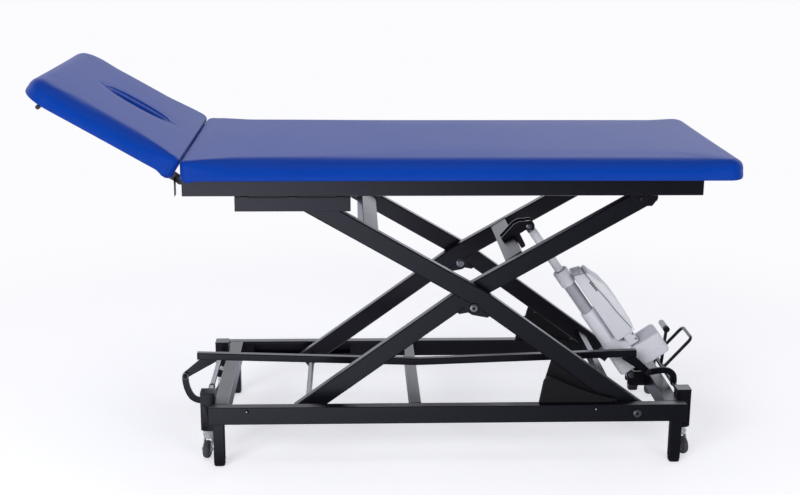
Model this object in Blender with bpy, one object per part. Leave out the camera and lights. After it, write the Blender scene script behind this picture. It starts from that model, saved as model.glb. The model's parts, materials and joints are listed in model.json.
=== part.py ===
# Height-adjustable treatment table: scissor lift, electric actuator, tilting head section
# and a pedal-driven castor lift. Metres, +Z up, +X towards the foot end, floor at z = 0.
import math

import bmesh
import bpy
from mathutils import Matrix, Vector

# General clearances
SEAT_GAP = 0.0003
RUNNING_GAP = 0.0003
SIDE_GAP = 0.0025

# Steel tube used for the rails and the scissor arms
TUBE_H = 0.050
TUBE_W = 0.030
TUBE_WALL = 0.0025
TUBE_RADIUS = 0.003

# Scissor lift
PIVOT_X = 0.6825
ARM_LENGTH = 1.080
PIVOT_RISE = 0.590
ARM_OVERRUN = 0.030
PIVOT_BOLT_D = 0.012
PIVOT_HEAD_D = 0.024
PIVOT_HEAD_H = 0.005
PIVOT_NUT_D = 0.022
PIVOT_NUT_H = 0.009
ARM_CRANK = 0.030
GUSSET_LENGTH = 0.098
GUSSET_BELOW = 0.0195
GUSSET_TIP_BELOW = 0.0035
ROLLER_D = 0.029
ROLLER_WIDTH = 0.0215
ROLLER_SHAFT_D = 0.016
LOWER_TUBE_AT = 0.093
LOWER_TUBE_W = 0.030
LOWER_TUBE_H = 0.020
UPPER_TUBE_AT = 0.887
CROSS_TUBE_W = 0.050
CROSS_TUBE_H = 0.030
LIFT_TUBE_AT = 0.161            # from the centre pivot, along the inner arm

# Base frame
BASE_LENGTH = 1.307
BASE_WIDTH = 0.580
BASE_RAIL_Z = 0.122
BASE_FOOT_REACH = 0.136
BASE_SLOT_LENGTH = 0.300
BASE_SLOT_FROM_END = 0.084
END_BAR_W = 0.040
FOOT_BAR_INSET = 0.0135
HEAD_BAR_INSET = 0.011
MID_BAR_FROM_PIVOT = 0.607
LEG_W = 0.030
LEG_INSET = 0.010
CAP_H = 0.012
CAP_PLUG_H = 0.018
CAP_ROUND = 0.005

# Guards over the pinch points at the foot end of the arms
GUARD_T = 0.012
GUARD_LENGTH = 0.215
GUARD_H = 0.076
GUARD_FROM_PIVOT = 0.270
GUARD_NOSE_R = 0.020
GUARD_TAIL_H = 0.008
ARM_GUARD_T = 0.004
ARM_GUARD_FROM = 0.060
ARM_GUARD_TO = 0.275
ARM_GUARD_DEPTH = 0.072
ARM_GUARD_LEAN = 0.018
ARM_GUARD_NOSE_R = 0.012

# Castor lift
SLEEVE_W = 0.040
SLEEVE_WALL = 0.0025
SLEEVE_BOTTOM_Z = 0.084
SLEEVE_TOP_Z = 0.193
SLEEVE_INNER_Y = 0.193
SHAFT_Z = 0.165
SHAFT_D = 0.014
CAM_THROW = 0.011
CAM_NOSE_R = 0.005
CAM_WIDTH = 0.022
CAM_LEAD_DEG = 30.0
CAM_SLACK = 0.0009
CRANK_BACK = 0.0745
CRANK_RISE = 0.0325
CRANK_W = 0.018
CRANK_T = 0.006
CRANK_HOOK_DROP = 0.042
CRANK_HOOK_RISE = 0.038
LINK_Y = -0.100
LINK_TUBE = 0.020
LINK_END_Z = 0.256
LINK_SAG = 0.021
LINK_HEAD_REACH = 0.037
LINK_FOOT_REACH = 0.039
LINK_PLATE_T = 0.004
LINK_PIN_D = 0.008
PEDAL_ROD_D = 0.010
PEDAL_REACH = 0.121
PEDAL_ANGLE_DEG = 48.7
PEDAL_NEAR_Y = 0.0225
PEDAL_WIDTH = 0.1075
PEDAL_BEND_R = 0.014
LEVER_REACH = 0.111
LEVER_ANGLE_DEG = 85.0
LEVER_Y = 0.050
GRIP_D = 0.017
GRIP_LENGTH = 0.070

# Castors
STEM_GAP = 0.0005
STEM_DROP = 0.004
FORK_PLATE_D = 0.034
FORK_PLATE_H = 0.007
FORK_T = 0.0025
CASTOR_TRAIL = 0.018
CASTOR_REST_CLEARANCE = 0.0025
CASTOR_REST_DEG = {"head_front": -12.0, "head_rear": -30.0, "foot_front": 12.0, "foot_rear": 140.0}
WHEEL_D = 0.050
WHEEL_W = 0.017
AXLE_D = 0.008

# Top frame
TOP_PIVOT_DROP = 0.0215
TOP_LENGTH = 1.362
TOP_FOOT_REACH = 0.141
TOP_BAR = 0.030
TOP_BAR_INSET_HEAD = 0.070
TOP_BAR_INSET_FOOT = 0.022
CLEVIS_W = 0.074
CLEVIS_T = 0.004
CLEVIS_BELOW = 0.020
CLEVIS_ABOVE = 0.056
GUIDE_LENGTH = 0.302
GUIDE_FROM_END = 0.135
GUIDE_H = 0.040
GUIDE_WALL = 0.003
GUIDE_NOTCH_H = 0.003
GUIDE_TAB_LENGTH = 0.022
GUIDE_TAB_PITCH = 0.125

# Padded sections
PAD_WIDTH = 0.700
MAIN_LENGTH = 1.458
MAIN_FOOT_REACH = 0.240
HEAD_LENGTH = 0.427
BOARD_T = 0.015
BOARD_INSET = 0.012
PAD_T = 0.057
PAD_EDGE_R = 0.018
PAD_CROWN = 0.004
PAD_DRAW_IN = 0.004
PAD_TUCK = 0.008
MAIN_CORNER_R = 0.040
HEAD_CORNER_R = 0.075
HINGE_CORNER_R = 0.022
FACE_SLOT_LENGTH = 0.210
FACE_SLOT_W = 0.088
FACE_SLOT_CENTRE = 0.180

# Head hinge
HEAD_TILT_DEG = 30.0
HINGE_FROM_MAIN = 0.010
HINGE_BELOW_BOARD = 0.0135
HINGE_TO_HEAD = 0.0225
HINGE_EYE_R = 0.011
HINGE_PIN_D = 0.010
HINGE_LEAF_T = 0.006
HINGE_LEAF_GAP = 0.0006
HINGE_STRAP_LENGTH = 0.180
HINGE_STRAP_W = 0.040
HINGE_STRAP_T = 0.004
HINGE_ROOT = 0.050
HEAD_BAR_D = 0.012
HEAD_BAR_FROM_HINGE = 0.394
HEAD_ROD_INSET = 0.015

# Actuator
ACT_FOOT_BACK = 0.038
ACT_FOOT_RISE = 0.011
ACT_TOP_ALONG = 0.2380
ACT_TOP_RAISE = 0.0450
ROD_D = 0.025
ROD_TAIL = 0.285
ROD_EYE_R = 0.012
ROD_EYE_W = 0.028
BORE_GAP = 0.0005
COLLAR_D = 0.044
COLLAR_FROM = 0.335
COLLAR_TO = 0.385
INNER_TUBE_D = 0.036
SHELL_D = 0.044
SHELL_FROM = 0.110
SHELL_TO = 0.235
BORE_DEPTH = 0.295
GEAR_W = 0.076
GEAR_FROM = 0.018
GEAR_TO = 0.118
GEAR_LOW = 0.024
MOTOR_W = 0.092
MOTOR_FROM = 0.008
MOTOR_TO = 0.078
MOTOR_LOW = 0.046
MOTOR_HIGH = 0.136
FOOT_EYE_W = 0.028
FOOT_EYE_R = 0.014
EAR_R = 0.011
FOOT_BOLT_D = 0.010
CONTROL_W = 0.088
CONTROL_FROM = 0.094
CONTROL_TO = 0.367
CONTROL_END_H = 0.042
CONTROL_BOW = 0.025
CONTROL_STEP_GAP = 0.002
BRACKET_T = 0.005
BRACKET_GAP = 0.0015
BRACKET_BASE_T = 0.006
BRACKET_SADDLE = 0.034
BRACKET_CREST = 0.027
BRACKET_PRONG = 0.046
BRACKET_PRONG_W = 0.015
BRACKET_NOSE_R = 0.0165

BOLT_SIDES = 16
ROUND_SIDES = 20


def clear_scene():
    for old in list(bpy.data.objects):
        bpy.data.objects.remove(old, do_unlink=True)


def finish(name, colour, roughness, metallic):
    material = bpy.data.materials.new(name)
    material.use_nodes = True
    shader = material.node_tree.nodes["Principled BSDF"]
    shader.inputs["Base Color"].default_value = (*colour, 1.0)
    shader.inputs["Roughness"].default_value = roughness
    shader.inputs["Metallic"].default_value = metallic
    return material


def body_frame(name, x, z, y=0.0, pitch=0.0):
    # Empty on a body's joint axis; pitch turns it about +Y, which lifts its -X side.
    empty = bpy.data.objects.new(name, None)
    empty.location = (x, y, z)
    empty.rotation_euler = (0.0, pitch, 0.0)
    bpy.context.collection.objects.link(empty)
    return empty


def put(name, bm, material, frame, hidden=False):
    bmesh.ops.remove_doubles(bm, verts=bm.verts, dist=1e-6)
    bmesh.ops.recalc_face_normals(bm, faces=bm.faces)
    mesh = bpy.data.meshes.new(name)
    bm.to_mesh(mesh)
    bm.free()
    mesh.shade_smooth()
    mesh.set_sharp_from_angle(angle=math.radians(35.0))
    piece = bpy.data.objects.new(name, mesh)
    bpy.context.collection.objects.link(piece)
    piece.parent = frame
    if material:
        mesh.materials.append(material)
    if hidden:
        piece.hide_render = True
        piece.display_type = 'WIRE'
    return piece


def combine(piece, shapes, operation):
    # Each shape is a bmesh that a Boolean adds to the piece or cuts from it.
    for index, shape in enumerate(shapes):
        tool = put(f"{piece.name}_{operation.lower()}_{index}", shape, None, piece.parent, hidden=True)
        modifier = piece.modifiers.new(tool.name, 'BOOLEAN')
        modifier.operation = operation
        modifier.solver = 'EXACT'
        modifier.object = tool
    return piece


def add(piece, *shapes):
    return combine(piece, shapes, 'UNION')


def cut(piece, *shapes):
    return combine(piece, shapes, 'DIFFERENCE')


def block(x0, x1, y0, y1, z0, z1, axis=None, radius=0.0, segments=2):
    # Box with rounded edges along one axis ('X', 'Y', 'Z'), along all edges ('ALL') or none.
    bm = bmesh.new()
    size = Vector((x1 - x0, y1 - y0, z1 - z0))
    centre = Vector(((x0 + x1) / 2, (y0 + y1) / 2, (z0 + z1) / 2))
    bmesh.ops.create_cube(bm, size=1.0, matrix=Matrix.Translation(centre) @ Matrix.Diagonal((*size, 1.0)))
    if axis and radius:
        edges = list(bm.edges)
        if axis != 'ALL':
            along = 'XYZ'.index(axis)
            edges = [e for e in edges if abs((e.verts[0].co - e.verts[1].co)[along]) > size[along] / 2]
        bmesh.ops.bevel(bm, geom=edges, offset=radius, segments=segments, profile=0.5, affect='EDGES')
    return bm


def rod(start, end, diameter, sides=ROUND_SIDES):
    start = Vector(start)
    end = Vector(end)
    run = end - start
    turn = run.to_track_quat('Z', 'Y').to_matrix().to_4x4()
    bm = bmesh.new()
    bmesh.ops.create_cone(bm, cap_ends=True, segments=sides, radius1=diameter / 2, radius2=diameter / 2,
                          depth=run.length, matrix=Matrix.Translation((start + end) / 2) @ turn)
    return bm


def cross_rod(x, z, y0, y1, diameter, sides=ROUND_SIDES):
    return rod((x, y0, z), (x, y1, z), diameter, sides)


def plate(outline, y0, y1, radius=0.0):
    # Flat plate: an outline in x and z, extruded across y, with its rim rounded where asked.
    bm = bmesh.new()
    lower = [bm.verts.new((x, y0, z)) for x, z in outline]
    face = bm.faces.new(lower)
    grown = bmesh.ops.extrude_face_region(bm, geom=[face])
    moved = [v for v in grown["geom"] if isinstance(v, bmesh.types.BMVert)]
    bmesh.ops.translate(bm, verts=moved, vec=(0.0, y1 - y0, 0.0))
    if radius:
        rim = [e for e in bm.edges if abs(e.verts[0].co.y - e.verts[1].co.y) < 1e-9]
        bmesh.ops.bevel(bm, geom=rim, offset=radius, segments=1, profile=0.5, affect='EDGES')
    return bm


def arc(x, z, radius, start_deg, end_deg, steps=6):
    angles = [math.radians(start_deg + (end_deg - start_deg) * i / steps) for i in range(steps + 1)]
    return [(x + radius * math.cos(a), z + radius * math.sin(a)) for a in angles]


def turned(profile, sides, place):
    # Closed turned shape from (radius, height) pairs, running from one end of the axis to the other.
    bm = bmesh.new()
    rings = []
    for radius, height in profile:
        ring = [bm.verts.new((radius * math.cos(2 * math.pi * i / sides),
                              radius * math.sin(2 * math.pi * i / sides), height)) for i in range(sides)]
        rings.append(ring)
    for low, high in zip(rings, rings[1:]):
        for i in range(sides):
            j = (i + 1) % sides
            bm.faces.new((low[i], low[j], high[j], high[i]))
    bm.faces.new(rings[0])
    bm.faces.new(rings[-1])
    bmesh.ops.transform(bm, matrix=place, verts=bm.verts)
    return bm


def across(side, x, z, y):
    # Turned shapes that run along Y: their heights count from y towards the middle of the table.
    turn = Matrix.Rotation(math.radians(90.0 if side > 0 else -90.0), 4, 'X')
    return Matrix.Translation((x, y * side, z)) @ turn


def span(side, inner, outer):
    # Low and high y of something between two distances from the middle, on one side.
    return (-outer, -inner) if side < 0 else (inner, outer)


def swept_rod(points, diameter, sides=8):
    # Bent round rod through the points, with mitred rings and closed ends.
    path = [Vector(p) for p in points]
    bm = bmesh.new()
    rings = []
    reference = (path[1] - path[0]).orthogonal().normalized()
    for i, here in enumerate(path):
        before = (here - path[i - 1]).normalized() if i else (path[1] - here).normalized()
        after = (path[i + 1] - here).normalized() if i + 1 < len(path) else before
        normal = (before + after).normalized()
        reference = (reference - normal * reference.dot(normal)).normalized()
        other = normal.cross(reference)
        ring = []
        for k in range(sides):
            turn = 2 * math.pi * k / sides
            flat = (reference * math.cos(turn) + other * math.sin(turn)) * diameter / 2
            ring.append(bm.verts.new(here + flat))
        rings.append(ring)
    for low, high in zip(rings, rings[1:]):
        for k in range(sides):
            j = (k + 1) % sides
            bm.faces.new((low[k], low[j], high[j], high[k]))
    bm.faces.new(rings[0])
    bm.faces.new(rings[-1])
    return bm


def open_tube(x0, x1, y0, y1, z0, z1, wall):
    # Rectangular tube along Y with open ends and rounded long edges.
    outer = block(x0, x1, y0, y1, z0, z1, 'Y', TUBE_RADIUS)
    inner = block(x0 + wall, x1 - wall, y0 - wall, y1 + wall, z0 + wall, z1 - wall)
    return outer, inner


# Heights and stations that several pieces share
PIVOT_Z = BASE_RAIL_Z + TUBE_H / 2
ARM_ANGLE = math.asin(PIVOT_RISE / ARM_LENGTH)
ARM_RUN = ARM_LENGTH * math.cos(ARM_ANGLE)
ROLLER_X = PIVOT_X - ARM_RUN
TOP_PIVOT_Z = PIVOT_Z + PIVOT_RISE
CENTRE_X = PIVOT_X - ARM_RUN / 2
CENTRE_Z = PIVOT_Z + PIVOT_RISE / 2

RAIL_OUTER_Y = BASE_WIDTH / 2
RAIL_INNER_Y = RAIL_OUTER_Y - TUBE_W
OUTER_ARM_Y = RAIL_INNER_Y - SIDE_GAP
OUTER_ARM_INNER_Y = OUTER_ARM_Y - TUBE_W
INNER_ARM_Y = OUTER_ARM_INNER_Y - SIDE_GAP
INNER_ARM_INNER_Y = INNER_ARM_Y - TUBE_W

BASE_FOOT_X = PIVOT_X + BASE_FOOT_REACH
BASE_HEAD_X = BASE_FOOT_X - BASE_LENGTH
BASE_TOP_Z = BASE_RAIL_Z + TUBE_H
FOOT_BAR_X = BASE_FOOT_X - FOOT_BAR_INSET
HEAD_BAR_X = BASE_HEAD_X + HEAD_BAR_INSET
FOOT_SHAFT_X = FOOT_BAR_X + SLEEVE_W / 2
HEAD_SHAFT_X = HEAD_BAR_X - SLEEVE_W / 2
MID_BAR_X = PIVOT_X - MID_BAR_FROM_PIVOT
SLEEVE_Y = SLEEVE_INNER_Y + SLEEVE_W / 2

TOP_RAIL_Z = TOP_PIVOT_Z + TOP_PIVOT_DROP
TOP_RAIL_TOP_Z = TOP_RAIL_Z + TUBE_H
TOP_FOOT_X = PIVOT_X + TOP_FOOT_REACH
TOP_HEAD_X = TOP_FOOT_X - TOP_LENGTH
BOARD_Z = TOP_RAIL_TOP_Z + SEAT_GAP
MAIN_FOOT_X = PIVOT_X + MAIN_FOOT_REACH
MAIN_HEAD_X = MAIN_FOOT_X - MAIN_LENGTH
HINGE_X = MAIN_HEAD_X - HINGE_FROM_MAIN
HINGE_Z = BOARD_Z - HINGE_BELOW_BOARD

ACT_FOOT_X = PIVOT_X + ACT_FOOT_BACK
ACT_FOOT_Z = PIVOT_Z + ACT_FOOT_RISE
ACT_TOP_X = CENTRE_X + ACT_TOP_ALONG * math.cos(ARM_ANGLE) - ACT_TOP_RAISE * math.sin(ARM_ANGLE)
ACT_TOP_Z = CENTRE_Z + ACT_TOP_ALONG * math.sin(ARM_ANGLE) + ACT_TOP_RAISE * math.cos(ARM_ANGLE)
ACT_LENGTH = math.hypot(ACT_TOP_X - ACT_FOOT_X, ACT_TOP_Z - ACT_FOOT_Z)
ACT_PITCH = math.atan2(ACT_TOP_Z - ACT_FOOT_Z, ACT_FOOT_X - ACT_TOP_X)

BOLT_HOLE_D = PIVOT_BOLT_D + 2 * RUNNING_GAP
SHAFT_HOLE_D = ROLLER_SHAFT_D + 2 * RUNNING_GAP

SIDES = {"front": -1, "rear": 1}
ENDS = {"head": -1, "foot": 1}


def pivot_bolt(name, side, x, z, outer_y, inner_y, seams, frame, steel):
    # Dome-headed bolt from the outside in, with a spacer collar at each seam and a flanged nut.
    head_r = PIVOT_HEAD_D / 2
    shank_r = PIVOT_BOLT_D / 2
    nut_r = PIVOT_NUT_D / 2
    grip = outer_y - inner_y
    profile = [(head_r * 0.72, -PIVOT_HEAD_H), (head_r * 0.94, -PIVOT_HEAD_H * 0.7),
               (head_r, -PIVOT_HEAD_H * 0.35), (head_r, -SEAT_GAP), (shank_r, -SEAT_GAP)]
    for seam_outer, seam_inner in seams:
        near = outer_y - seam_outer + SEAT_GAP
        far = outer_y - seam_inner - SEAT_GAP
        profile += [(shank_r, near), (head_r, near), (head_r, far), (shank_r, far)]
    nut_at = grip + SEAT_GAP
    profile += [(shank_r, nut_at), (nut_r, nut_at), (nut_r, nut_at + PIVOT_NUT_H * 0.8),
                (nut_r * 0.85, nut_at + PIVOT_NUT_H)]
    return put(name, turned(profile, BOLT_SIDES, across(side, x, z, outer_y)), steel, frame)


def make_base(frame, black, rubber, zinc):
    slot_x = BASE_HEAD_X + BASE_SLOT_FROM_END
    leg_x = {"head": BASE_HEAD_X + LEG_INSET + LEG_W / 2, "foot": BASE_FOOT_X - LEG_INSET - LEG_W / 2}
    for side_name, side in SIDES.items():
        y0, y1 = span(side, RAIL_INNER_Y, RAIL_OUTER_Y)
        inner_y0, inner_y1 = span(side, RAIL_INNER_Y - TUBE_WALL, RAIL_INNER_Y + TUBE_WALL * 1.5)
        rail = put(f"{side_name}_base_rail",
                   block(BASE_HEAD_X, BASE_FOOT_X, y0, y1, BASE_RAIL_Z, BASE_TOP_Z, 'X', TUBE_RADIUS),
                   black, frame)
        hollow = block(BASE_HEAD_X + TUBE_WALL, BASE_FOOT_X - TUBE_WALL, y0 + TUBE_WALL, y1 - TUBE_WALL,
                       BASE_RAIL_Z + TUBE_WALL, BASE_TOP_Z - TUBE_WALL)
        slot = block(slot_x, slot_x + BASE_SLOT_LENGTH, inner_y0, inner_y1,
                     PIVOT_Z - ROLLER_D / 2 - SEAT_GAP, PIVOT_Z + ROLLER_D / 2 + SEAT_GAP)
        bolt_hole = cross_rod(PIVOT_X, PIVOT_Z, y0 - TUBE_WALL, y1 + TUBE_WALL, BOLT_HOLE_D, BOLT_SIDES)
        for x in leg_x.values():
            add(rail, block(x - LEG_W / 2, x + LEG_W / 2, y0, y1, CAP_H, BASE_RAIL_Z + TUBE_WALL / 2,
                            'Z', TUBE_RADIUS))
        cut(rail, hollow, slot, bolt_hole)
        for end_name, x in leg_x.items():
            cut(rail, block(x - LEG_W / 2 + TUBE_WALL, x + LEG_W / 2 - TUBE_WALL, y0 + TUBE_WALL, y1 - TUBE_WALL,
                            CAP_H - TUBE_WALL, BASE_RAIL_Z - TUBE_WALL))
            cap = put(f"foot_cap_{end_name}_{side_name}",
                      block(x - LEG_W / 2, x + LEG_W / 2, y0, y1, 0.0, CAP_H - SEAT_GAP, 'ALL', CAP_ROUND),
                      rubber, frame)
            plug = TUBE_WALL + SEAT_GAP
            add(cap, block(x - LEG_W / 2 + plug, x + LEG_W / 2 - plug, y0 + plug, y1 - plug,
                           CAP_H / 2, CAP_H + CAP_PLUG_H))
        pivot_bolt(f"base_pivot_bolt_{side_name}", side, PIVOT_X, PIVOT_Z, RAIL_OUTER_Y, OUTER_ARM_INNER_Y,
                   [(RAIL_INNER_Y, OUTER_ARM_Y)], frame, zinc)
        make_base_guard(side_name, side, frame, black)

    reach = RAIL_INNER_Y - SEAT_GAP
    outer, inner = open_tube(MID_BAR_X - TUBE_W / 2, MID_BAR_X + TUBE_W / 2, -reach, reach,
                             BASE_RAIL_Z, BASE_TOP_Z, TUBE_WALL)
    cut(put("mid_crossbar", outer, black, frame), inner)
    for end_name, end in ENDS.items():
        make_end_bar(end_name, end, reach, frame, black)


def make_end_bar(end_name, end, reach, frame, black):
    # End crossbar with a square castor sleeve near each end of its outer face.
    face_x = FOOT_BAR_X if end > 0 else HEAD_BAR_X
    shaft_x = FOOT_SHAFT_X if end > 0 else HEAD_SHAFT_X
    x0, x1 = (face_x - END_BAR_W, face_x) if end > 0 else (face_x, face_x + END_BAR_W)
    outer, inner = open_tube(x0, x1, -reach, reach, BASE_RAIL_Z, BASE_TOP_Z, TUBE_WALL)
    bar = put(f"{end_name}_crossbar", outer, black, frame)
    weld = TUBE_WALL / 5
    half = SLEEVE_W / 2
    bore = half - SLEEVE_WALL
    wells = []
    for side in SIDES.values():
        y = side * SLEEVE_Y
        grow_low, grow_high = (weld, 0.0) if end > 0 else (0.0, weld)
        add(bar, block(shaft_x - half - grow_low, shaft_x + half + grow_high, y - half, y + half,
                       SLEEVE_BOTTOM_Z, SLEEVE_TOP_Z, 'Z', TUBE_RADIUS))
        wells.append(block(shaft_x - bore, shaft_x + bore, y - bore, y + bore,
                           SLEEVE_BOTTOM_Z - SLEEVE_WALL, SLEEVE_TOP_Z - SLEEVE_WALL))
    if end > 0:
        add(bar, *actuator_foot_plates(x0, weld))
    cut(bar, inner, *wells)
    wall_y = SLEEVE_INNER_Y + SLEEVE_WALL * 1.5
    cut(bar, cross_rod(shaft_x, SHAFT_Z, -wall_y, wall_y, SHAFT_D + 2 * RUNNING_GAP, BOLT_SIDES))
    if end > 0:
        cut(bar, cross_rod(ACT_FOOT_X, ACT_FOOT_Z, -GEAR_W, GEAR_W, FOOT_BOLT_D + 2 * RUNNING_GAP, BOLT_SIDES))


def actuator_foot_plates(bar_x, weld):
    # Two ears on the inner face of the foot crossbar that hold the actuator's foot bolt.
    low = BASE_RAIL_Z + TUBE_RADIUS
    top = ACT_FOOT_Z + EAR_R
    outline = [(bar_x + weld, low), (bar_x + weld, BASE_TOP_Z - TUBE_RADIUS), (ACT_FOOT_X + EAR_R, top)]
    outline += arc(ACT_FOOT_X, ACT_FOOT_Z, EAR_R, 90.0, 190.0)
    outline += [(ACT_FOOT_X - EAR_R * 0.8, low + EAR_R / 2), (ACT_FOOT_X, low)]
    ears = []
    for side in SIDES.values():
        y0, y1 = span(side, FOOT_EYE_W / 2 + BRACKET_GAP, FOOT_EYE_W / 2 + BRACKET_GAP + BRACKET_T)
        ears.append(plate(outline, y0, y1))
    return ears


def make_base_guard(side_name, side, frame, black):
    # Moulded shield that stands on the rail beside the arm: round nose, long falling tail.
    y0, y1 = span(side, RAIL_INNER_Y + SIDE_GAP, RAIL_INNER_Y + SIDE_GAP + GUARD_T)
    x0 = PIVOT_X - GUARD_FROM_PIVOT
    z0 = BASE_TOP_Z + SEAT_GAP
    nose_x = x0 + GUARD_NOSE_R * 1.5
    nose_z = z0 + GUARD_H - GUARD_NOSE_R
    tail_x = x0 + GUARD_LENGTH
    outline = [(x0, z0)]
    outline += arc(nose_x, nose_z, GUARD_NOSE_R, 165.0, 80.0, 5)
    steps = 5
    fall_x, fall_z = outline[-1]
    for i in range(1, steps + 1):
        t = i / steps
        sag = GUARD_NOSE_R * 0.35 * math.sin(math.pi * t)
        outline.append((fall_x + (tail_x - fall_x) * t, fall_z + (z0 + GUARD_TAIL_H - fall_z) * t - sag))
    outline.append((tail_x, z0))
    put(f"base_guard_{side_name}", plate(outline, y0, y1, GUARD_T / 5), black, frame)


def crank_height(x, x0, x1):
    # Height of a cranked arm's centre line above the straight line through its end pivots.
    middle = (x0 + x1) / 2
    return ARM_CRANK * (1.0 - abs(x - middle) / abs(x1 - middle))


def cranked_outline(x0, x1, half, overrun):
    # Tube of constant depth from beyond one pivot to beyond the other, bent at the middle.
    middle = (x0 + x1) / 2
    run = Vector((middle - x0, ARM_CRANK)).normalized()
    side = Vector((-run.y, run.x)) * half
    first = Vector((x0, 0.0)) - run * overrun
    mitre = half / run.x
    low = first - side
    high = first + side
    return [tuple(low), (middle, ARM_CRANK - mitre), (x0 + x1 - low.x, low.y),
            (x0 + x1 - high.x, high.y), (middle, ARM_CRANK + mitre), tuple(high)]


def arm_tube(name, x0, x1, side, inner_y, outer_y, end_holes, frame, black):
    # Closed tube, cranked upwards at the middle, with a gusset below the bend for the centre pivot.
    y0, y1 = span(side, inner_y, outer_y)
    half = TUBE_H / 2
    middle = (x0 + x1) / 2
    reach = GUSSET_LENGTH / 2
    arm = put(name, plate(cranked_outline(x0, x1, half, ARM_OVERRUN), y0, y1, TUBE_RADIUS), black, frame)
    bury = TUBE_WALL / 2
    root = crank_height(middle + reach, x0, x1) - half + bury
    flat = GUSSET_LENGTH / 16
    add(arm, plate([(middle - reach, root), (middle - reach + flat / 2, -GUSSET_TIP_BELOW),
                    (middle - flat, -GUSSET_BELOW), (middle + flat, -GUSSET_BELOW),
                    (middle + reach - flat / 2, -GUSSET_TIP_BELOW), (middle + reach, root),
                    (middle, ARM_CRANK - half + bury)], y0 + SEAT_GAP, y1 - SEAT_GAP))
    cut(arm, plate(cranked_outline(x0, x1, half - TUBE_WALL, ARM_OVERRUN - TUBE_WALL),
                   y0 + TUBE_WALL, y1 - TUBE_WALL))
    for x, diameter in (*end_holes, (middle, BOLT_HOLE_D)):
        cut(arm, cross_rod(x, 0.0, y0 - TUBE_WALL, y1 + TUBE_WALL, diameter, BOLT_SIDES))
    # The bend's edges meet the centre hole, so the cuts allow for faces that touch themselves.
    for modifier in arm.modifiers:
        modifier.use_self = True
    return arm


def roller_shaft(name, x, z, frame, steel):
    # Cross shaft that turns in the arms, with a roller at each end.
    roller_r = ROLLER_D / 2
    shaft_r = ROLLER_SHAFT_D / 2
    end_y = RAIL_INNER_Y + ROLLER_WIDTH
    edge = roller_r * 0.08
    length = 2 * end_y
    profile = [(roller_r - edge, 0.0), (roller_r, edge), (roller_r, ROLLER_WIDTH - edge),
               (roller_r - edge, ROLLER_WIDTH), (shaft_r, ROLLER_WIDTH)]
    profile += [(radius, length - height) for radius, height in reversed(profile)]
    return put(name, turned(profile, ROUND_SIDES, across(-1, x, z, end_y)), steel, frame)


def make_outer_arms(frame, black):
    for side_name, side in SIDES.items():
        arm_tube(f"outer_arm_{side_name}", -ARM_LENGTH, 0.0, side, OUTER_ARM_INNER_Y, OUTER_ARM_Y,
                 [(0.0, BOLT_HOLE_D), (-ARM_LENGTH, SHAFT_HOLE_D)], frame, black)
        make_arm_guard(side_name, side, frame, black)
    reach = OUTER_ARM_INNER_Y - SEAT_GAP
    tubes = {"outer_lower_tube": (LOWER_TUBE_AT, LOWER_TUBE_W, LOWER_TUBE_H),
             "outer_upper_tube": (UPPER_TUBE_AT, CROSS_TUBE_W, CROSS_TUBE_H)}
    for name, (at, width, height) in tubes.items():
        low = crank_height(-at, -ARM_LENGTH, 0.0) - height / 2
        outer, inner = open_tube(-at - width / 2, -at + width / 2, -reach, reach, low, low + height, TUBE_WALL)
        cut(put(name, outer, black, frame), inner)


def make_arm_guard(side_name, side, frame, black):
    # Sheet wedge under the arm: it closes the gap above the rail as the table comes down.
    middle = (OUTER_ARM_INNER_Y + OUTER_ARM_Y) / 2
    y0, y1 = span(side, middle - ARM_GUARD_T / 2, middle + ARM_GUARD_T / 2)
    lower_face = TUBE_H / 2 / math.cos(math.atan2(ARM_CRANK, ARM_LENGTH / 2)) + SEAT_GAP
    head_top = crank_height(-ARM_GUARD_TO, -ARM_LENGTH, 0.0) - lower_face
    foot_top = crank_height(-ARM_GUARD_FROM, -ARM_LENGTH, 0.0) - lower_face
    nose_x = -ARM_GUARD_TO + ARM_GUARD_LEAN + ARM_GUARD_NOSE_R
    nose_z = head_top - ARM_GUARD_DEPTH + ARM_GUARD_NOSE_R
    outline = [(-ARM_GUARD_TO, head_top)]
    outline += arc(nose_x, nose_z, ARM_GUARD_NOSE_R, 165.0, 285.0)
    outline += [(-ARM_GUARD_FROM, foot_top - ARM_GUARD_T), (-ARM_GUARD_FROM, foot_top)]
    put(f"arm_guard_{side_name}", plate(outline, y0, y1), black, frame)


def make_inner_arms(frame, black, zinc):
    half = ARM_LENGTH / 2
    for side_name, side in SIDES.items():
        arm_tube(f"inner_arm_{side_name}", -half, half, side, INNER_ARM_INNER_Y, INNER_ARM_Y,
                 [(-half, SHAFT_HOLE_D), (half, BOLT_HOLE_D)], frame, black)
        pivot_bolt(f"centre_pivot_bolt_{side_name}", side, 0.0, 0.0, OUTER_ARM_Y, INNER_ARM_INNER_Y,
                   [(OUTER_ARM_INNER_Y, INNER_ARM_Y)], frame, zinc)
    reach = INNER_ARM_INNER_Y - SEAT_GAP
    at = LIFT_TUBE_AT
    low = crank_height(at, -half, half) + TUBE_H / 2 - CROSS_TUBE_H
    outer, inner = open_tube(at - CROSS_TUBE_W / 2, at + CROSS_TUBE_W / 2, -reach, reach,
                             low, low + CROSS_TUBE_H, TUBE_WALL)
    cut(put("inner_lift_tube", outer, black, frame), inner)
    make_lift_bracket(at, low + CROSS_TUBE_H, frame, black)


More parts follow.
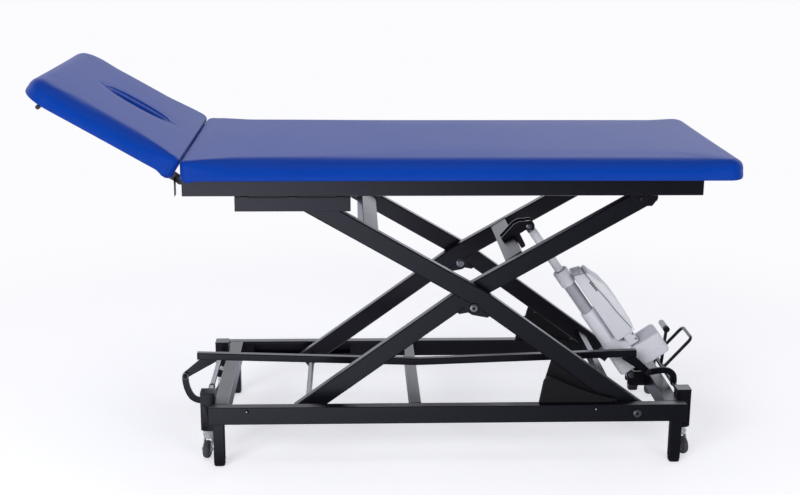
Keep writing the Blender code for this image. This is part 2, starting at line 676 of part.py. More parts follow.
def make_lift_bracket(tube_x, tube_top, frame, black):
    # Two hooked cheeks on a saddle: they stand on the tube, hang in front of it and hold the rod end.
    base_z = tube_top + SEAT_GAP
    face_x = tube_x + CROSS_TUBE_W / 2 + SEAT_GAP
    inner_y = ROD_EYE_W / 2 + BRACKET_GAP
    outer_y = inner_y + BRACKET_T
    back_x = face_x - BRACKET_SADDLE
    prong_z = base_z - BRACKET_PRONG
    prong_x = face_x + BRACKET_PRONG_W
    crest_z = base_z + BRACKET_CREST
    throat_x = ACT_TOP_ALONG - BRACKET_NOSE_R
    outline = [(back_x, base_z), (back_x, base_z + BRACKET_CREST * 0.45), (throat_x - BRACKET_NOSE_R, crest_z),
               (throat_x, crest_z - BRACKET_CREST * 0.05)]
    outline += arc(ACT_TOP_ALONG, ACT_TOP_RAISE, BRACKET_NOSE_R, 85.0, -75.0, 7)
    outline += [(throat_x + BRACKET_T / 2, base_z - BRACKET_BASE_T),
                (throat_x - BRACKET_NOSE_R, base_z - BRACKET_BASE_T),
                (prong_x, prong_z + BRACKET_BASE_T), (prong_x - BRACKET_T / 2, prong_z), (face_x, prong_z),
                (face_x, base_z)]
    bracket = put("lift_bracket", plate(outline, -outer_y, outer_y), black, frame)
    far_x = ACT_TOP_ALONG + BRACKET_NOSE_R * 2
    floor_z = base_z + BRACKET_BASE_T / 2
    cut(bracket, block(back_x - BRACKET_T, far_x, -inner_y, inner_y, floor_z, crest_z + BRACKET_CREST))
    cut(bracket, block(face_x + BRACKET_BASE_T / 2, far_x + BRACKET_T, -inner_y, inner_y, prong_z - BRACKET_T,
                       floor_z + BRACKET_T))


def make_top_frame(frame, black, zinc, dark_board, vinyl):
    for side_name, side in SIDES.items():
        make_top_rail(side_name, side, frame, black)
        make_roller_guide(side_name, side, frame, black)
        pivot_bolt(f"top_pivot_bolt_{side_name}", side, PIVOT_X, TOP_PIVOT_Z, INNER_ARM_Y + SIDE_GAP + CLEVIS_T,
                   INNER_ARM_INNER_Y - SIDE_GAP - CLEVIS_T,
                   [(INNER_ARM_Y + SIDE_GAP, INNER_ARM_Y), (INNER_ARM_INNER_Y, INNER_ARM_INNER_Y - SIDE_GAP)],
                   frame, zinc)
    reach = RAIL_INNER_Y - SEAT_GAP
    bar_x = {"head": TOP_HEAD_X + TOP_BAR_INSET_HEAD, "foot": TOP_FOOT_X - TOP_BAR_INSET_FOOT - TOP_BAR}
    for end_name, x in bar_x.items():
        outer, inner = open_tube(x, x + TOP_BAR, -reach, reach,
                                 TOP_RAIL_TOP_Z - TOP_BAR, TOP_RAIL_TOP_Z, TUBE_WALL)
        cut(put(f"top_crossbar_{end_name}", outer, black, frame), inner)
    half = PAD_WIDTH / 2
    put("main_board", block(MAIN_HEAD_X + BOARD_INSET, MAIN_FOOT_X - BOARD_INSET, -half + BOARD_INSET,
                            half - BOARD_INSET, BOARD_Z, BOARD_Z + BOARD_T, 'Z', MAIN_CORNER_R - BOARD_INSET, 4),
        dark_board, frame)
    pad = put("main_cushion", cushion(MAIN_HEAD_X, MAIN_FOOT_X, BOARD_Z, HINGE_CORNER_R, MAIN_CORNER_R),
              vinyl, frame)
    cut(pad, board_pocket(MAIN_HEAD_X, MAIN_FOOT_X, BOARD_Z, MAIN_CORNER_R))


def make_top_rail(side_name, side, frame, black):
    # Side rail with the clevis for the inner arm and the fixed leaf of the head hinge welded to it.
    y0, y1 = span(side, RAIL_INNER_Y, RAIL_OUTER_Y)
    weld = TUBE_WALL / 5
    rail = put(f"top_rail_{side_name}",
               block(TOP_HEAD_X, TOP_FOOT_X, y0, y1, TOP_RAIL_Z, TOP_RAIL_TOP_Z, 'X', TUBE_RADIUS),
               black, frame)
    cheek_outer = INNER_ARM_Y + SIDE_GAP
    cheek_inner = INNER_ARM_INNER_Y - SIDE_GAP - CLEVIS_T
    low = TOP_PIVOT_Z - CLEVIS_BELOW
    high = TOP_PIVOT_Z + CLEVIS_ABOVE
    wide = CLEVIS_W / 2
    cheek = [(PIVOT_X - wide, high), (PIVOT_X - wide, TOP_PIVOT_Z), (PIVOT_X - wide * 0.6, low),
             (PIVOT_X + wide * 0.6, low), (PIVOT_X + wide, TOP_PIVOT_Z), (PIVOT_X + wide, high)]
    add(rail, block(PIVOT_X - wide, PIVOT_X + wide, *span(side, cheek_inner, RAIL_INNER_Y + weld),
                    high - CLEVIS_T, high))
    for inner_y in (cheek_outer, cheek_inner):
        add(rail, plate(cheek, *span(side, inner_y, inner_y + CLEVIS_T)))
    leaf_y = RAIL_INNER_Y - HINGE_LEAF_T
    eye = arc(HINGE_X, HINGE_Z, HINGE_EYE_R, 90.0, 270.0, 10)
    leaf = eye + [(HINGE_X + HINGE_ROOT, HINGE_Z - HINGE_EYE_R), (HINGE_X + HINGE_ROOT, HINGE_Z + HINGE_EYE_R)]
    add(rail, plate(leaf, *span(side, leaf_y, RAIL_INNER_Y + weld)))
    vent_x = TOP_HEAD_X + TOP_BAR_INSET_HEAD
    cut(rail, block(TOP_HEAD_X + TUBE_WALL, TOP_FOOT_X - TUBE_WALL, y0 + TUBE_WALL, y1 - TUBE_WALL,
                    TOP_RAIL_Z + TUBE_WALL, TOP_RAIL_TOP_Z - TUBE_WALL))
    cut(rail, rod((vent_x, (y0 + y1) / 2, TOP_RAIL_Z - TUBE_WALL),
                  (vent_x, (y0 + y1) / 2, TOP_RAIL_Z + TUBE_WALL * 2),
                  HINGE_PIN_D, BOLT_SIDES))
    cut(rail, cross_rod(PIVOT_X, TOP_PIVOT_Z, *span(side, cheek_inner - CLEVIS_T, RAIL_INNER_Y - TUBE_WALL),
                        BOLT_HOLE_D, BOLT_SIDES))
    cut(rail, cross_rod(HINGE_X, HINGE_Z, *span(side, leaf_y - HINGE_LEAF_T, RAIL_INNER_Y + TUBE_WALL),
                        HINGE_PIN_D + 2 * RUNNING_GAP, BOLT_SIDES))


def make_roller_guide(side_name, side, frame, black):
    # Channel under the rail, open to the inside, that the upper rollers run in.
    x0 = TOP_HEAD_X + GUIDE_FROM_END
    x1 = x0 + GUIDE_LENGTH
    z1 = TOP_RAIL_Z - SEAT_GAP
    z0 = z1 - GUIDE_H
    y0, y1 = span(side, RAIL_INNER_Y, RAIL_OUTER_Y)
    guide = put(f"roller_guide_{side_name}", block(x0, x1, y0, y1, z0, z1, 'X', GUIDE_WALL / 3, 1),
                black, frame)
    runway = TOP_PIVOT_Z + ROLLER_D / 2 + SEAT_GAP
    cut(guide, block(x0 + GUIDE_WALL, x1 - GUIDE_WALL,
                     *span(side, RAIL_INNER_Y - GUIDE_WALL, RAIL_OUTER_Y - GUIDE_WALL),
                     z0 + GUIDE_WALL, runway))
    middle = (x0 + x1) / 2
    tabs = [middle + place * GUIDE_TAB_PITCH for place in (-1, 0, 1)]
    starts = [x0 - GUIDE_WALL] + [tab + GUIDE_TAB_LENGTH / 2 for tab in tabs]
    stops = [tab - GUIDE_TAB_LENGTH / 2 for tab in tabs] + [x1 + GUIDE_WALL]
    for start, stop in zip(starts, stops):
        cut(guide, block(start, stop, *span(side, RAIL_OUTER_Y - GUIDE_WALL, RAIL_OUTER_Y + GUIDE_WALL),
                         z1 - GUIDE_NOTCH_H, z1 + GUIDE_WALL))


def rounded_ring(x0, x1, half_width, corner_low, corner_high, inset, draw_in):
    # Rounded rectangle, inset from its outline, whose long sides draw in between the corners.
    steps = 5
    edge_points = 12
    points = []
    corners = [(x1 - corner_high, half_width - corner_high, corner_high, 0.0),
               (x0 + corner_low, half_width - corner_low, corner_low, 90.0),
               (x0 + corner_low, -half_width + corner_low, corner_low, 180.0),
               (x1 - corner_high, -half_width + corner_high, corner_high, 270.0)]
    for index, (cx, cy, radius, start) in enumerate(corners):
        points += arc(cx, cy, max(radius - inset, radius * 0.2), start, start + 90.0, steps)
        if index in (0, 2):
            next_x, next_y = corners[index + 1][:2]
            next_r = max(corners[index + 1][2] - inset, corners[index + 1][2] * 0.2)
            y_from = points[-1][1]
            y_to = next_y + (next_r if index == 0 else -next_r)
            for i in range(1, edge_points):
                t = i / edge_points
                points.append((cx + (next_x - cx) * t, y_from + (y_to - y_from) * t))
    shifted = []
    length = x1 - x0
    for x, y in points:
        spare = max(0.0, 1.0 - (2.0 * (x - (x0 + x1) / 2) / length) ** 2)
        shifted.append((x, y - math.copysign(draw_in * spare, y)))
    return shifted


def cushion(x0, x1, z0, corner_low, corner_high):
    # Crowned pad: straight skirt, rounded upper edge and a low crown, drawn in along its sides.
    half = PAD_WIDTH / 2
    rings = [(PAD_TUCK, z0), (PAD_TUCK * 0.3, z0 + BOARD_T * 0.35),
             (0.0, z0 + BOARD_T), (0.0, z0 + PAD_T - PAD_EDGE_R * 1.3)]
    for i in range(1, 6):
        turn = math.radians(90.0 * i / 5)
        rings.append((PAD_EDGE_R * (1.0 - math.cos(turn)),
                      z0 + PAD_T - PAD_EDGE_R + PAD_EDGE_R * math.sin(turn) - PAD_CROWN * 0.6))
    rings += [(PAD_EDGE_R * 3.2, z0 + PAD_T - PAD_CROWN * 0.2), (PAD_EDGE_R * 6.4, z0 + PAD_T)]
    bm = bmesh.new()
    loops = []
    for inset, z in rings:
        outline = rounded_ring(x0 + inset, x1 - inset, half - inset, corner_low, corner_high,
                               inset, PAD_DRAW_IN)
        loops.append([bm.verts.new((x, y, z)) for x, y in outline])
    for low, high in zip(loops, loops[1:]):
        for i in range(len(low)):
            j = (i + 1) % len(low)
            bm.faces.new((low[i], low[j], high[j], high[i]))
    bm.faces.new(loops[0])
    bm.faces.new(loops[-1])
    return bm


def board_pocket(x0, x1, z0, corner):
    inset = BOARD_INSET - SEAT_GAP
    half = PAD_WIDTH / 2 - inset
    return block(x0 + inset, x1 - inset, -half, half, z0 - BOARD_T, z0 + BOARD_T + SEAT_GAP,
                 'Z', corner - inset, 4)


def face_slot(z0, z1, grow):
    # Almond-shaped breathing slot, cut straight down through the head section.
    half = FACE_SLOT_LENGTH / 2 + grow
    wide = FACE_SLOT_W / 2 + grow
    steps = 10
    rim = []
    for i in range(2 * steps):
        turn = math.pi * i / steps
        rim.append((-FACE_SLOT_CENTRE - HINGE_TO_HEAD + half * math.cos(turn),
                    wide * math.copysign(abs(math.sin(turn)) ** 1.4, math.sin(turn))))
    bm = bmesh.new()
    loops = [[bm.verts.new((x, y, z)) for x, y in rim] for z in (z0, z1)]
    for i in range(len(rim)):
        j = (i + 1) % len(rim)
        bm.faces.new((loops[0][i], loops[0][j], loops[1][j], loops[1][i]))
    bm.faces.new(loops[0])
    bm.faces.new(loops[1])
    return bm


def make_head(frame, black, dark_board, vinyl):
    # Modelled flat about the hinge axis; the frame holds the tilt.
    x1 = -HINGE_TO_HEAD
    x0 = x1 - HEAD_LENGTH
    z0 = HINGE_BELOW_BOARD
    half = PAD_WIDTH / 2
    depth = PAD_T * 2
    board = put("head_board", block(x0 + BOARD_INSET, x1 - BOARD_INSET, -half + BOARD_INSET, half - BOARD_INSET,
                                    z0, z0 + BOARD_T, 'Z', HEAD_CORNER_R - BOARD_INSET, 4), dark_board, frame)
    cut(board, face_slot(z0 - depth, z0 + depth, BOARD_INSET))
    pad = put("head_cushion", cushion(x0, x1, z0, HEAD_CORNER_R, HINGE_CORNER_R), vinyl, frame)
    cut(pad, board_pocket(x0, x1, z0, HEAD_CORNER_R), face_slot(z0 - depth, z0 + depth, 0.0))
    bar_z = z0 - HEAD_BAR_D / 2 - SEAT_GAP
    bar_end = half - HEAD_ROD_INSET
    put("head_bar", cross_rod(-HEAD_BAR_FROM_HINGE, bar_z, -bar_end, bar_end, HEAD_BAR_D, BOLT_SIDES),
        black, frame)
    for side_name, side in SIDES.items():
        make_head_hinge(side_name, side, z0, frame, black)


def make_head_hinge(side_name, side, board_z, frame, black):
    # Swinging leaf: eye and pin on the hinge axis, and a strap screwed under the head board.
    leaf_outer = RAIL_INNER_Y - HINGE_LEAF_T - HINGE_LEAF_GAP
    leaf_inner = leaf_outer - HINGE_LEAF_T
    strap_top = board_z - SEAT_GAP
    strap_low = strap_top - HINGE_STRAP_T
    web_top = strap_top - HINGE_STRAP_T / 4
    web_end = HINGE_STRAP_LENGTH * 0.97
    outline = arc(0.0, 0.0, HINGE_EYE_R, -90.0, 60.0, 8)
    outline += [(-HINGE_TO_HEAD, web_top), (-web_end, web_top), (-web_end, strap_low - HINGE_STRAP_T / 4),
                (-HINGE_TO_HEAD * 2, -HINGE_EYE_R)]
    hinge = put(f"head_hinge_{side_name}", plate(outline, *span(side, leaf_inner, leaf_outer)), black, frame)
    add(hinge, block(-HINGE_STRAP_LENGTH, -HINGE_TO_HEAD,
                     *span(side, leaf_inner - HINGE_STRAP_W, leaf_outer - HINGE_LEAF_T / 2),
                     strap_low, strap_top))
    add(hinge, cross_rod(0.0, 0.0, *span(side, leaf_outer - HINGE_LEAF_T / 2, RAIL_INNER_Y - SEAT_GAP),
                         HINGE_PIN_D, BOLT_SIDES))


def along_actuator(a0, a1, diameter, sides=ROUND_SIDES):
    return rod((-a0, 0.0, 0.0), (-a1, 0.0, 0.0), diameter, sides)


def make_actuator(frame, rod_frame, grey, silver):
    # Stepped barrel along -X of its frame, with the motor and gear case across it at the foot.
    half_gear = GEAR_W / 2
    half_motor = MOTOR_W / 2
    barrel = put("actuator_housing", along_actuator(GEAR_TO - FORK_T, SHELL_TO, SHELL_D), grey, frame)
    add(barrel, along_actuator(SHELL_TO - FORK_T, COLLAR_FROM + FORK_T, INNER_TUBE_D))
    add(barrel, along_actuator(COLLAR_FROM, COLLAR_TO, COLLAR_D))
    add(barrel, block(-GEAR_TO, -GEAR_FROM, -half_gear, half_gear, -GEAR_LOW, MOTOR_LOW + FORK_T,
                      'ALL', GEAR_W / 8, 2))
    add(barrel, block(-MOTOR_TO, -MOTOR_FROM, -half_motor, half_motor, MOTOR_LOW, MOTOR_HIGH,
                      'ALL', MOTOR_W / 7, 2))
    eye = [(-GEAR_FROM - FORK_T, FOOT_EYE_R), (-GEAR_FROM - FORK_T, -FOOT_EYE_R)]
    eye += arc(0.0, 0.0, FOOT_EYE_R, -90.0, 90.0, 8)
    add(barrel, plate(eye, -FOOT_EYE_W / 2, FOOT_EYE_W / 2))
    bolt_end = FOOT_EYE_W / 2 + BRACKET_GAP + BRACKET_T
    add(barrel, cross_rod(0.0, 0.0, -bolt_end, bolt_end, FOOT_BOLT_D, BOLT_SIDES))
    cut(barrel, along_actuator(COLLAR_TO - BORE_DEPTH, COLLAR_TO + FORK_T, ROD_D + 2 * BORE_GAP))
    make_control_box(frame, grey)

    piston = put("actuator_rod", along_actuator(ACT_LENGTH - ROD_TAIL, ACT_LENGTH - ROD_EYE_R / 2, ROD_D),
                 silver, rod_frame)
    outline = arc(-ACT_LENGTH, 0.0, ROD_EYE_R, 90.0, 270.0, 8)
    outline += [(-ACT_LENGTH + ROD_EYE_R, -ROD_EYE_R), (-ACT_LENGTH + ROD_EYE_R, ROD_EYE_R)]
    add(piston, plate(outline, -ROD_EYE_W / 2, ROD_EYE_W / 2))


def make_control_box(frame, grey):
    # Bowed moulded case that lies along the barrel and steps over the gear case at its lower end.
    half = CONTROL_W / 2
    low = max(SHELL_D, COLLAR_D) / 2 + SEAT_GAP
    step_x = -GEAR_TO - CONTROL_STEP_GAP
    step_z = MOTOR_LOW + FORK_T + SEAT_GAP
    steps = 8
    outline = [(-CONTROL_FROM, step_z), (step_x, step_z), (step_x, low), (-CONTROL_TO, low)]
    for i in range(steps + 1):
        t = i / steps
        x = -CONTROL_TO + (CONTROL_TO - CONTROL_FROM) * t
        outline.append((x, low + CONTROL_END_H + CONTROL_BOW * math.sin(math.pi * t ** 0.85)))
    put("control_box", plate(outline, -half, half, CONTROL_W / 16), grey, frame)


def crank_points(low_side):
    # Centre line of the flat crank, from the link pivot round to its shaft, about the shaft.
    back = -CRANK_BACK
    if low_side:
        drop = -CRANK_HOOK_DROP
        return [(back, CRANK_RISE), (back * 0.985, drop * -0.28), (back * 0.9, drop * 0.3),
                (back * 0.73, drop * 0.79), (back * 0.42, drop), (back * 0.12, drop * 0.8), (0.0, 0.0)]
    rise = CRANK_HOOK_RISE
    return [(back, CRANK_RISE), (back * 0.62, rise), (back * 0.28, rise), (back * 0.06, rise * 0.73),
            (0.0, rise * 0.32), (0.0, 0.0)]


def smooth_path(points, steps):
    # Catmull-Rom curve through the points.
    ends = [points[0], *points, points[-1]]
    path = []
    for i in range(1, len(ends) - 2):
        p0, p1, p2, p3 = (Vector(p) for p in ends[i - 1:i + 3])
        for k in range(steps):
            t = k / steps
            path.append(0.5 * (2 * p1 + (p2 - p0) * t + (2 * p0 - 5 * p1 + 4 * p2 - p3) * t * t
                               + (3 * p1 - p0 - 3 * p2 + p3) * t ** 3))
    path.append(Vector(points[-1]))
    return path


def band(points, width, y0, y1):
    # Flat iron of constant width along a smooth centre line, with rounded ends.
    path = smooth_path(points, 4)
    left = []
    right = []
    for i, here in enumerate(path):
        run = (path[min(i + 1, len(path) - 1)] - path[max(i - 1, 0)]).normalized()
        side = Vector((-run.y, run.x)) * width / 2
        left.append(here + side)
        right.append(here - side)
    first = math.degrees(math.atan2(*reversed(left[0] - path[0])))
    last = math.degrees(math.atan2(*reversed(right[-1] - path[-1])))
    outline = arc(*path[0], width / 2, first + 180.0, first, 6)[:-1]
    outline += [tuple(p) for p in left[:-1]]
    outline += arc(*path[-1], width / 2, last + 180.0, last, 6)[:-1]
    outline += [tuple(p) for p in reversed(right[1:])]
    return plate(outline, y0, y1)


def lift_shaft(name, low_side, frame, black):
    # Torsion shaft between two sleeves, with a cam at each end and the crank for the link bar.
    end_y = SLEEVE_INNER_Y + SLEEVE_W / 2 + CAM_WIDTH / 2
    shaft = put(name, cross_rod(0.0, 0.0, -end_y, end_y, SHAFT_D), black, frame)
    lead = math.radians(CAM_LEAD_DEG)
    nose = (CAM_THROW * math.cos(lead), CAM_THROW * math.sin(lead))
    for side in SIDES.values():
        y0, y1 = span(side, end_y - CAM_WIDTH, end_y)
        cam = arc(*nose, CAM_NOSE_R, CAM_LEAD_DEG - 90.0, CAM_LEAD_DEG + 90.0, 6)
        cam += arc(0.0, 0.0, SHAFT_D / 2 - TUBE_WALL / 5, CAM_LEAD_DEG + 90.0, CAM_LEAD_DEG + 270.0, 6)
        add(shaft, plate(cam, y0, y1))
    y0 = LINK_Y - LINK_PLATE_T / 2 - RUNNING_GAP - CRANK_T
    add(shaft, band(crank_points(low_side), CRANK_W, y0, y0 + CRANK_T))
    add(shaft, cross_rod(-CRANK_BACK, CRANK_RISE, y0 - CRANK_T / 2, LINK_Y + LINK_PLATE_T, LINK_PIN_D, 12))
    return shaft


def make_pedals(shaft):
    # U-shaped foot pedal and a return lever with a round grip, both welded to the foot shaft.
    out = Vector((math.cos(math.radians(PEDAL_ANGLE_DEG)), 0.0, math.sin(math.radians(PEDAL_ANGLE_DEG))))
    far_y = PEDAL_NEAR_Y + PEDAL_WIDTH
    tip = out * PEDAL_REACH
    bend = PEDAL_BEND_R
    path = [Vector((0.0, PEDAL_NEAR_Y, 0.0))]
    for y, first, last in ((PEDAL_NEAR_Y, 180.0, 90.0), (far_y, 90.0, 0.0)):
        centre_y = y + bend if y == PEDAL_NEAR_Y else y - bend
        for across_y, along in arc(centre_y, 0.0, bend, first, last, 3):
            path.append(tip - out * bend + out * along + Vector((0.0, across_y, 0.0)))
    path.append(Vector((0.0, far_y, 0.0)))
    add(shaft, swept_rod(path, PEDAL_ROD_D))

    lean = math.radians(LEVER_ANGLE_DEG)
    up = Vector((math.cos(lean), 0.0, math.sin(lean)))
    lever_tip = up * LEVER_REACH + Vector((0.0, LEVER_Y, 0.0))
    add(shaft, swept_rod([Vector((0.0, LEVER_Y, 0.0)), lever_tip + up * GRIP_D / 4], PEDAL_ROD_D))
    add(shaft, rod(lever_tip - Vector((0.0, PEDAL_ROD_D / 2, 0.0)),
                   lever_tip + Vector((0.0, GRIP_LENGTH - PEDAL_ROD_D / 2, 0.0)), GRIP_D, 16))


def make_link_bar(frame, black):
    # Square tube bent slightly down in the middle, with a plate at each end down to its crank pivot.
    # The frame sits on the head-end crank pivot.
    span_x = FOOT_SHAFT_X - HEAD_SHAFT_X
    pivot_z = SHAFT_Z + CRANK_RISE
    end_z = LINK_END_Z - pivot_z
    half = LINK_TUBE / 2
    head_x = LINK_HEAD_REACH
    foot_x = span_x - LINK_FOOT_REACH
    bend_x = (head_x + foot_x) / 2
    centre = [(head_x, end_z), (bend_x, end_z - LINK_SAG), (foot_x, end_z)]
    upper = [(x, z + half) for x, z in centre]
    lower = [(x, z - half) for x, z in reversed(centre)]
    bar = put("link_bar", plate(upper + lower, LINK_Y - half, LINK_Y + half, LINK_TUBE / 10), black, frame)
    y0 = LINK_Y - LINK_PLATE_T / 2
    y1 = LINK_Y + LINK_PLATE_T / 2
    eye_r = CRANK_W / 2
    root = end_z - half + TUBE_WALL / 2
    head_plate = arc(0.0, 0.0, eye_r, 120.0, 300.0, 6)
    head_plate += [(head_x + LINK_TUBE * 2.6, root - LINK_TUBE * 0.45), (head_x + LINK_TUBE * 2.6, root),
                   (head_x + LINK_TUBE * 0.4, root)]
    foot_plate = arc(span_x, 0.0, eye_r, -120.0, 60.0, 6)
    foot_plate += [(foot_x - LINK_TUBE * 0.1, root), (foot_x - LINK_TUBE * 1.9, root),
                   (foot_x - LINK_TUBE * 1.9, root - LINK_TUBE * 0.5)]
    add(bar, plate(head_plate, y0, y1), plate(foot_plate, y0, y1))
    hole = LINK_PIN_D + 2 * RUNNING_GAP
    for x in (0.0, span_x):
        cut(bar, cross_rod(x, 0.0, y0 - TUBE_WALL, y1 + TUBE_WALL, hole, 12))


def make_castor(place, x, y, rest_deg, stems, black, zinc, tread):
    # Stem that slides in the sleeve, then a swivel fork and its wheel, which trails behind the axis.
    half = SLEEVE_W / 2 - SLEEVE_WALL - STEM_GAP
    lead = math.radians(CAM_LEAD_DEG)
    low = SLEEVE_BOTTOM_Z - STEM_DROP
    shoulder_z = SHAFT_Z - SHAFT_D / 2 - CAM_SLACK
    stem = put(f"castor_stem_{place}", block(x - half, x + half, y - half, y + half, low, shoulder_z,
                                             'Z', TUBE_RADIUS, 1), black, stems)
    post_x = x + CAM_THROW * math.cos(lead) + CAM_NOSE_R * math.sin(lead) + SEAT_GAP
    post_z = SHAFT_Z + CAM_THROW * math.sin(lead) - CAM_NOSE_R * math.cos(lead) - CAM_SLACK
    add(stem, block(post_x, x + half - STEM_GAP, y - half + STEM_GAP, y + half - STEM_GAP,
                    shoulder_z - STEM_DROP, post_z))

    swivel = body_frame(f"swivel_{place}", x, 0.0, y=y)
    swivel.rotation_euler = (0.0, 0.0, math.radians(rest_deg))
    wheel_z = CASTOR_REST_CLEARANCE + WHEEL_D / 2
    plate_z = low - SEAT_GAP
    inner = WHEEL_W / 2 + RUNNING_GAP * 2
    outer = inner + FORK_T
    fork = put(f"castor_fork_{place}", rod((0.0, 0.0, plate_z - FORK_PLATE_H), (0.0, 0.0, plate_z), FORK_PLATE_D),
               zinc, swivel)
    for side in SIDES.values():
        x0, x1 = span(side, inner, outer)
        add(fork, fork_leg(x0, x1, -CASTOR_TRAIL, wheel_z, plate_z - FORK_PLATE_H / 2, AXLE_D * 0.9))
    axle_end = outer + FORK_T
    add(fork, rod((-axle_end, -CASTOR_TRAIL, wheel_z), (axle_end, -CASTOR_TRAIL, wheel_z), AXLE_D, 12))
    tread_r = WHEEL_D / 2
    half_w = WHEEL_W / 2
    rim = [(AXLE_D / 2 + RUNNING_GAP, -half_w), (tread_r * 0.66, -half_w), (tread_r * 0.72, -half_w * 0.8),
           (tread_r * 0.9, -half_w * 0.85), (tread_r, -half_w * 0.45), (tread_r, half_w * 0.45),
           (tread_r * 0.9, half_w * 0.85), (tread_r * 0.72, half_w * 0.8), (tread_r * 0.66, half_w),
           (AXLE_D / 2 + RUNNING_GAP, half_w)]
    put(f"castor_wheel_{place}", wheel_ring(rim, 0.0, -CASTOR_TRAIL, wheel_z), tread, swivel)


def fork_leg(x0, x1, wheel_y, wheel_z, top_z, leg_r):
    # Flat leg of the fork, from under the swivel plate down to a round end at the axle.
    bm = bmesh.new()
    outline = [(FORK_PLATE_D * 0.42, top_z), (-FORK_PLATE_D * 0.42, top_z)]
    outline += arc(wheel_y, wheel_z, leg_r, 180.0, 360.0, 6)
    face = bm.faces.new([bm.verts.new((x0, py, pz)) for py, pz in outline])
    grown = bmesh.ops.extrude_face_region(bm, geom=[face])
    moved = [v for v in grown["geom"] if isinstance(v, bmesh.types.BMVert)]
    bmesh.ops.translate(bm, verts=moved, vec=(x1 - x0, 0.0, 0.0))
    return bm


def wheel_ring(profile, x, y, z):
    # Ring turned about an axle along X.
    sides = ROUND_SIDES
    bm = bmesh.new()
    rings = []
    for radius, offset in profile:
        ring = [bm.verts.new((x + offset, y + radius * math.cos(2 * math.pi * i / sides),
                              z + radius * math.sin(2 * math.pi * i / sides))) for i in range(sides)]
        rings.append(ring)
    for low, high in zip(rings, rings[1:] + rings[:1]):
        for i in range(sides):
            j = (i + 1) % sides
            bm.faces.new((low[i], low[j], high[j], high[i]))
    return bm


def main():
    clear_scene()
    black = finish("black_powder_coat", (0.018, 0.018, 0.021), 0.45, 0.0)
    zinc = finish("zinc_plate", (0.72, 0.73, 0.75), 0.3, 1.0)
    rubber = finish("dark_plastic", (0.02, 0.02, 0.02), 0.6, 0.0)
    tread = finish("wheel_grey", (0.05, 0.05, 0.055), 0.55, 0.0)
    grey = finish("light_grey_plastic", (0.62, 0.64, 0.68), 0.4, 0.0)
    silver = finish("rod_silver", (0.55, 0.56, 0.6), 0.35, 0.6)
    dark_board = finish("dark_board", (0.03, 0.028, 0.026), 0.8, 0.0)
    vinyl = finish("blue_vinyl", (0.016, 0.055, 0.42), 0.38, 0.0)

    base = body_frame("base", 0.0, 0.0)
    make_base(base, black, rubber, zinc)
    outer_arms = body_frame("outer_arms", PIVOT_X, PIVOT_Z, pitch=ARM_ANGLE)
    make_outer_arms(outer_arms, black)
    inner_arms = body_frame("inner_arms", CENTRE_X, CENTRE_Z, pitch=-ARM_ANGLE)
    make_inner_arms(inner_arms, black, zinc)
    roller_shaft("upper_roller_shaft", 0.0, 0.0, body_frame("upper_roller", ROLLER_X, TOP_PIVOT_Z), zinc)
    roller_shaft("lower_roller_shaft", 0.0, 0.0, body_frame("lower_roller", ROLLER_X, PIVOT_Z), zinc)
    make_top_frame(body_frame("top_frame", 0.0, 0.0), black, zinc, dark_board, vinyl)
    make_head(body_frame("head_section", HINGE_X, HINGE_Z, pitch=math.radians(HEAD_TILT_DEG)),
              black, dark_board, vinyl)
    actuator = body_frame("actuator", ACT_FOOT_X, ACT_FOOT_Z, pitch=ACT_PITCH)
    rod_frame = body_frame("actuator_slide", ACT_FOOT_X, ACT_FOOT_Z, pitch=ACT_PITCH)
    make_actuator(actuator, rod_frame, grey, silver)

    foot_shaft = lift_shaft("foot_shaft", False, body_frame("foot_lift", FOOT_SHAFT_X, SHAFT_Z), black)
    make_pedals(foot_shaft)
    lift_shaft("head_shaft", True, body_frame("head_lift", HEAD_SHAFT_X, SHAFT_Z), black)
    make_link_bar(body_frame("link", HEAD_SHAFT_X - CRANK_BACK, SHAFT_Z + CRANK_RISE), black)
    stems = body_frame("castor_lift", 0.0, 0.0)
    for end_name, shaft_x in (("head", HEAD_SHAFT_X), ("foot", FOOT_SHAFT_X)):
        for side_name, side in SIDES.items():
            make_castor(f"{end_name}_{side_name}", shaft_x, side * SLEEVE_Y,
                        CASTOR_REST_DEG[f"{end_name}_{side_name}"], stems, black, zinc, tread)


main()
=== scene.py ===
import json
import math

import bmesh
import bpy
import numpy as np
from mathutils import Matrix, Vector


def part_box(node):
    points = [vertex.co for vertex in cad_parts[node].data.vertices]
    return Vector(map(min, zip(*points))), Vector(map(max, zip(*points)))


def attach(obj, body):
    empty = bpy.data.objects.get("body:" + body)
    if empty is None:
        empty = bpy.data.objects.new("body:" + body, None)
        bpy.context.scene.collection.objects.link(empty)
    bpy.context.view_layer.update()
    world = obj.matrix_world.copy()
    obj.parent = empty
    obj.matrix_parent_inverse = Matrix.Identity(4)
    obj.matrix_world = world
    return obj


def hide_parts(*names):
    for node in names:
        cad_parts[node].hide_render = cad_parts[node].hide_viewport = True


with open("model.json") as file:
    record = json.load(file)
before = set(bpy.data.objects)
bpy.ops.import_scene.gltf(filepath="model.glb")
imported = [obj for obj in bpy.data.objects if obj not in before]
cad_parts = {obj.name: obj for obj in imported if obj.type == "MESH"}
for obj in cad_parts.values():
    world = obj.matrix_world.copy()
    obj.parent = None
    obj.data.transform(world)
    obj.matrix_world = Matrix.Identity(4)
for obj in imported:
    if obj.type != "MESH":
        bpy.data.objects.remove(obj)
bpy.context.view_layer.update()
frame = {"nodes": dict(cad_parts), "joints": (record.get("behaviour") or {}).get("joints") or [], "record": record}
scene = bpy.context.scene
scene.view_settings.view_transform = "Standard"
print("frame loaded:", len(frame["nodes"]), "nodes")


# node trees, for finishes and for repeats

